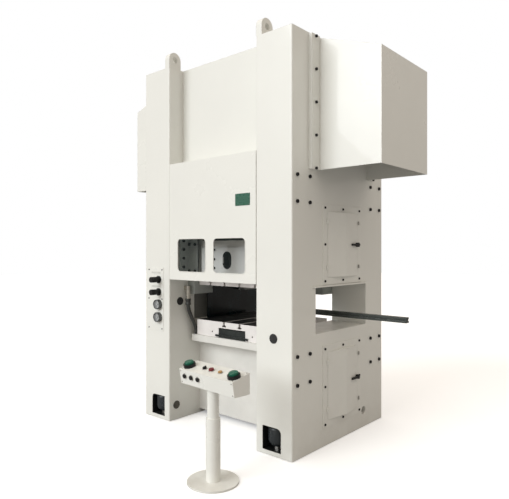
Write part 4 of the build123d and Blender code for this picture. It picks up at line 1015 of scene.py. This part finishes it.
class PRESS_OT_stage(bpy.types.Operator):
    """Sets the camera, the pale floor and the plain soft light"""

    bl_idname = "press.stage"
    bl_label = "Stage"

    def execute(self, context):
        stage = context.scene.press_stage
        context.scene.view_settings.view_transform = "Standard"
        lens = bpy.data.cameras.new("camera")
        lens.sensor_width = sensor_width
        lens.lens = focal_length
        camera = bpy.data.objects.new("camera", lens)
        camera.location = camera_place
        camera.rotation_euler = (math.radians(90), 0, math.radians(camera_turn))
        context.scene.collection.objects.link(camera)
        context.scene.camera = camera

        ground = bpy.data.meshes.new("floor")
        corners = [(x * floor_reach, y * floor_reach, 0)
                   for x, y in ((-1, -1), (1, -1), (1, 1), (-1, 1))]
        ground.from_pydata(corners, [], [(0, 1, 2, 3)])
        floor = bpy.data.objects.new("floor", ground)
        context.scene.collection.objects.link(floor)
        paint = bpy.data.materials.new("floor")
        paint.use_nodes = True
        tree = paint.node_tree
        tree.nodes.remove(tree.nodes["Principled BSDF"])
        seen = seen_directly(tree)
        shade = blend_colour(tree, seen, rgba((stage.bounce,) * 3), rgba(stage.floor))
        matt = add_node(tree, "ShaderNodeBsdfDiffuse", {"Color": shade})
        glow = maths(tree, "MULTIPLY", seen, floor_glow)
        lit = add_node(tree, "ShaderNodeEmission", {"Strength": glow})
        both = add_node(tree, "ShaderNodeAddShader", {
            0: matt.outputs["BSDF"], 1: lit.outputs["Emission"]})
        tree.links.new(both.outputs["Shader"], tree.nodes["Material Output"].inputs["Surface"])
        ground.materials.append(paint)

        sky = bpy.data.worlds.new("sky")
        sky.use_nodes = True
        context.scene.world = sky
        tree = sky.node_tree
        air = tree.nodes["Background"]
        way = add_node(tree, "ShaderNodeTexCoord").outputs["Generated"]
        high = add_node(tree, "ShaderNodeSeparateXYZ", {0: way}).outputs["Z"]
        soft = add_node(tree, "ShaderNodeMapRange", {
            "Value": high, "To Min": stage.low_light, "To Max": stage.high_light})
        warm = add_node(tree, "ShaderNodeVectorMath", {
            0: sky_tint, "Scale": soft.outputs["Result"]}, operation="SCALE")
        shade = blend_colour(tree, seen_directly(tree), warm.outputs["Vector"], rgba((1, 1, 1)))
        tree.links.new(shade, air.inputs["Color"])

        lamp = bpy.data.lights.new("key", "SUN")
        lamp.energy = stage.key_light
        lamp.angle = math.radians(lamp_spread)
        lamp.color = lamp_tint
        key = bpy.data.objects.new("key", lamp)
        key.rotation_euler = Vector(lamp_way).to_track_quat("-Z", "Y").to_euler()
        context.scene.collection.objects.link(key)
        return {"FINISHED"}


class PRESS_PT_panel(bpy.types.Panel):
    """Lists the press's settings and steps"""

    bl_idname = "PRESS_PT_panel"
    bl_label = "Press"
    bl_space_type = "VIEW_3D"
    bl_region_type = "UI"
    bl_category = "Press"

    def draw(self, context):
        for group in (context.scene.press_colours, context.scene.press_sizes,
                      context.scene.press_stage):
            for key in group.__annotations__:
                self.layout.prop(group, key)
        for step in steps:
            self.layout.operator(step.bl_idname)


settings = {"press_colours": PressColours, "press_sizes": PressSizes, "press_stage": PressStage}
steps = (PRESS_OT_stage, PRESS_OT_finishes, PRESS_OT_windows, PRESS_OT_screws,
         PRESS_OT_gauges, PRESS_OT_panel_fittings, PRESS_OT_console_fittings,
         PRESS_OT_catches, PRESS_OT_hose)


def register():
    for group in settings.values():
        bpy.utils.register_class(group)
    for step in steps + (PRESS_PT_panel,):
        bpy.utils.register_class(step)
    for name, group in settings.items():
        setattr(bpy.types.Scene, name, PointerProperty(type=group))


def unregister():
    for name in settings:
        delattr(bpy.types.Scene, name)
    for step in (PRESS_PT_panel,) + steps[::-1]:
        bpy.utils.unregister_class(step)
    for group in settings.values():
        bpy.utils.unregister_class(group)


def main():
    """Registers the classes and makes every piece."""
    register()
    bpy.ops.press.stage()
    bpy.ops.press.finishes()
    bpy.ops.press.windows()
    bpy.ops.press.screws()
    bpy.ops.press.gauges()
    bpy.ops.press.panel_fittings()
    bpy.ops.press.console_fittings()
    bpy.ops.press.catches()
    bpy.ops.press.hose()


if __name__ == "__main__":
    main()
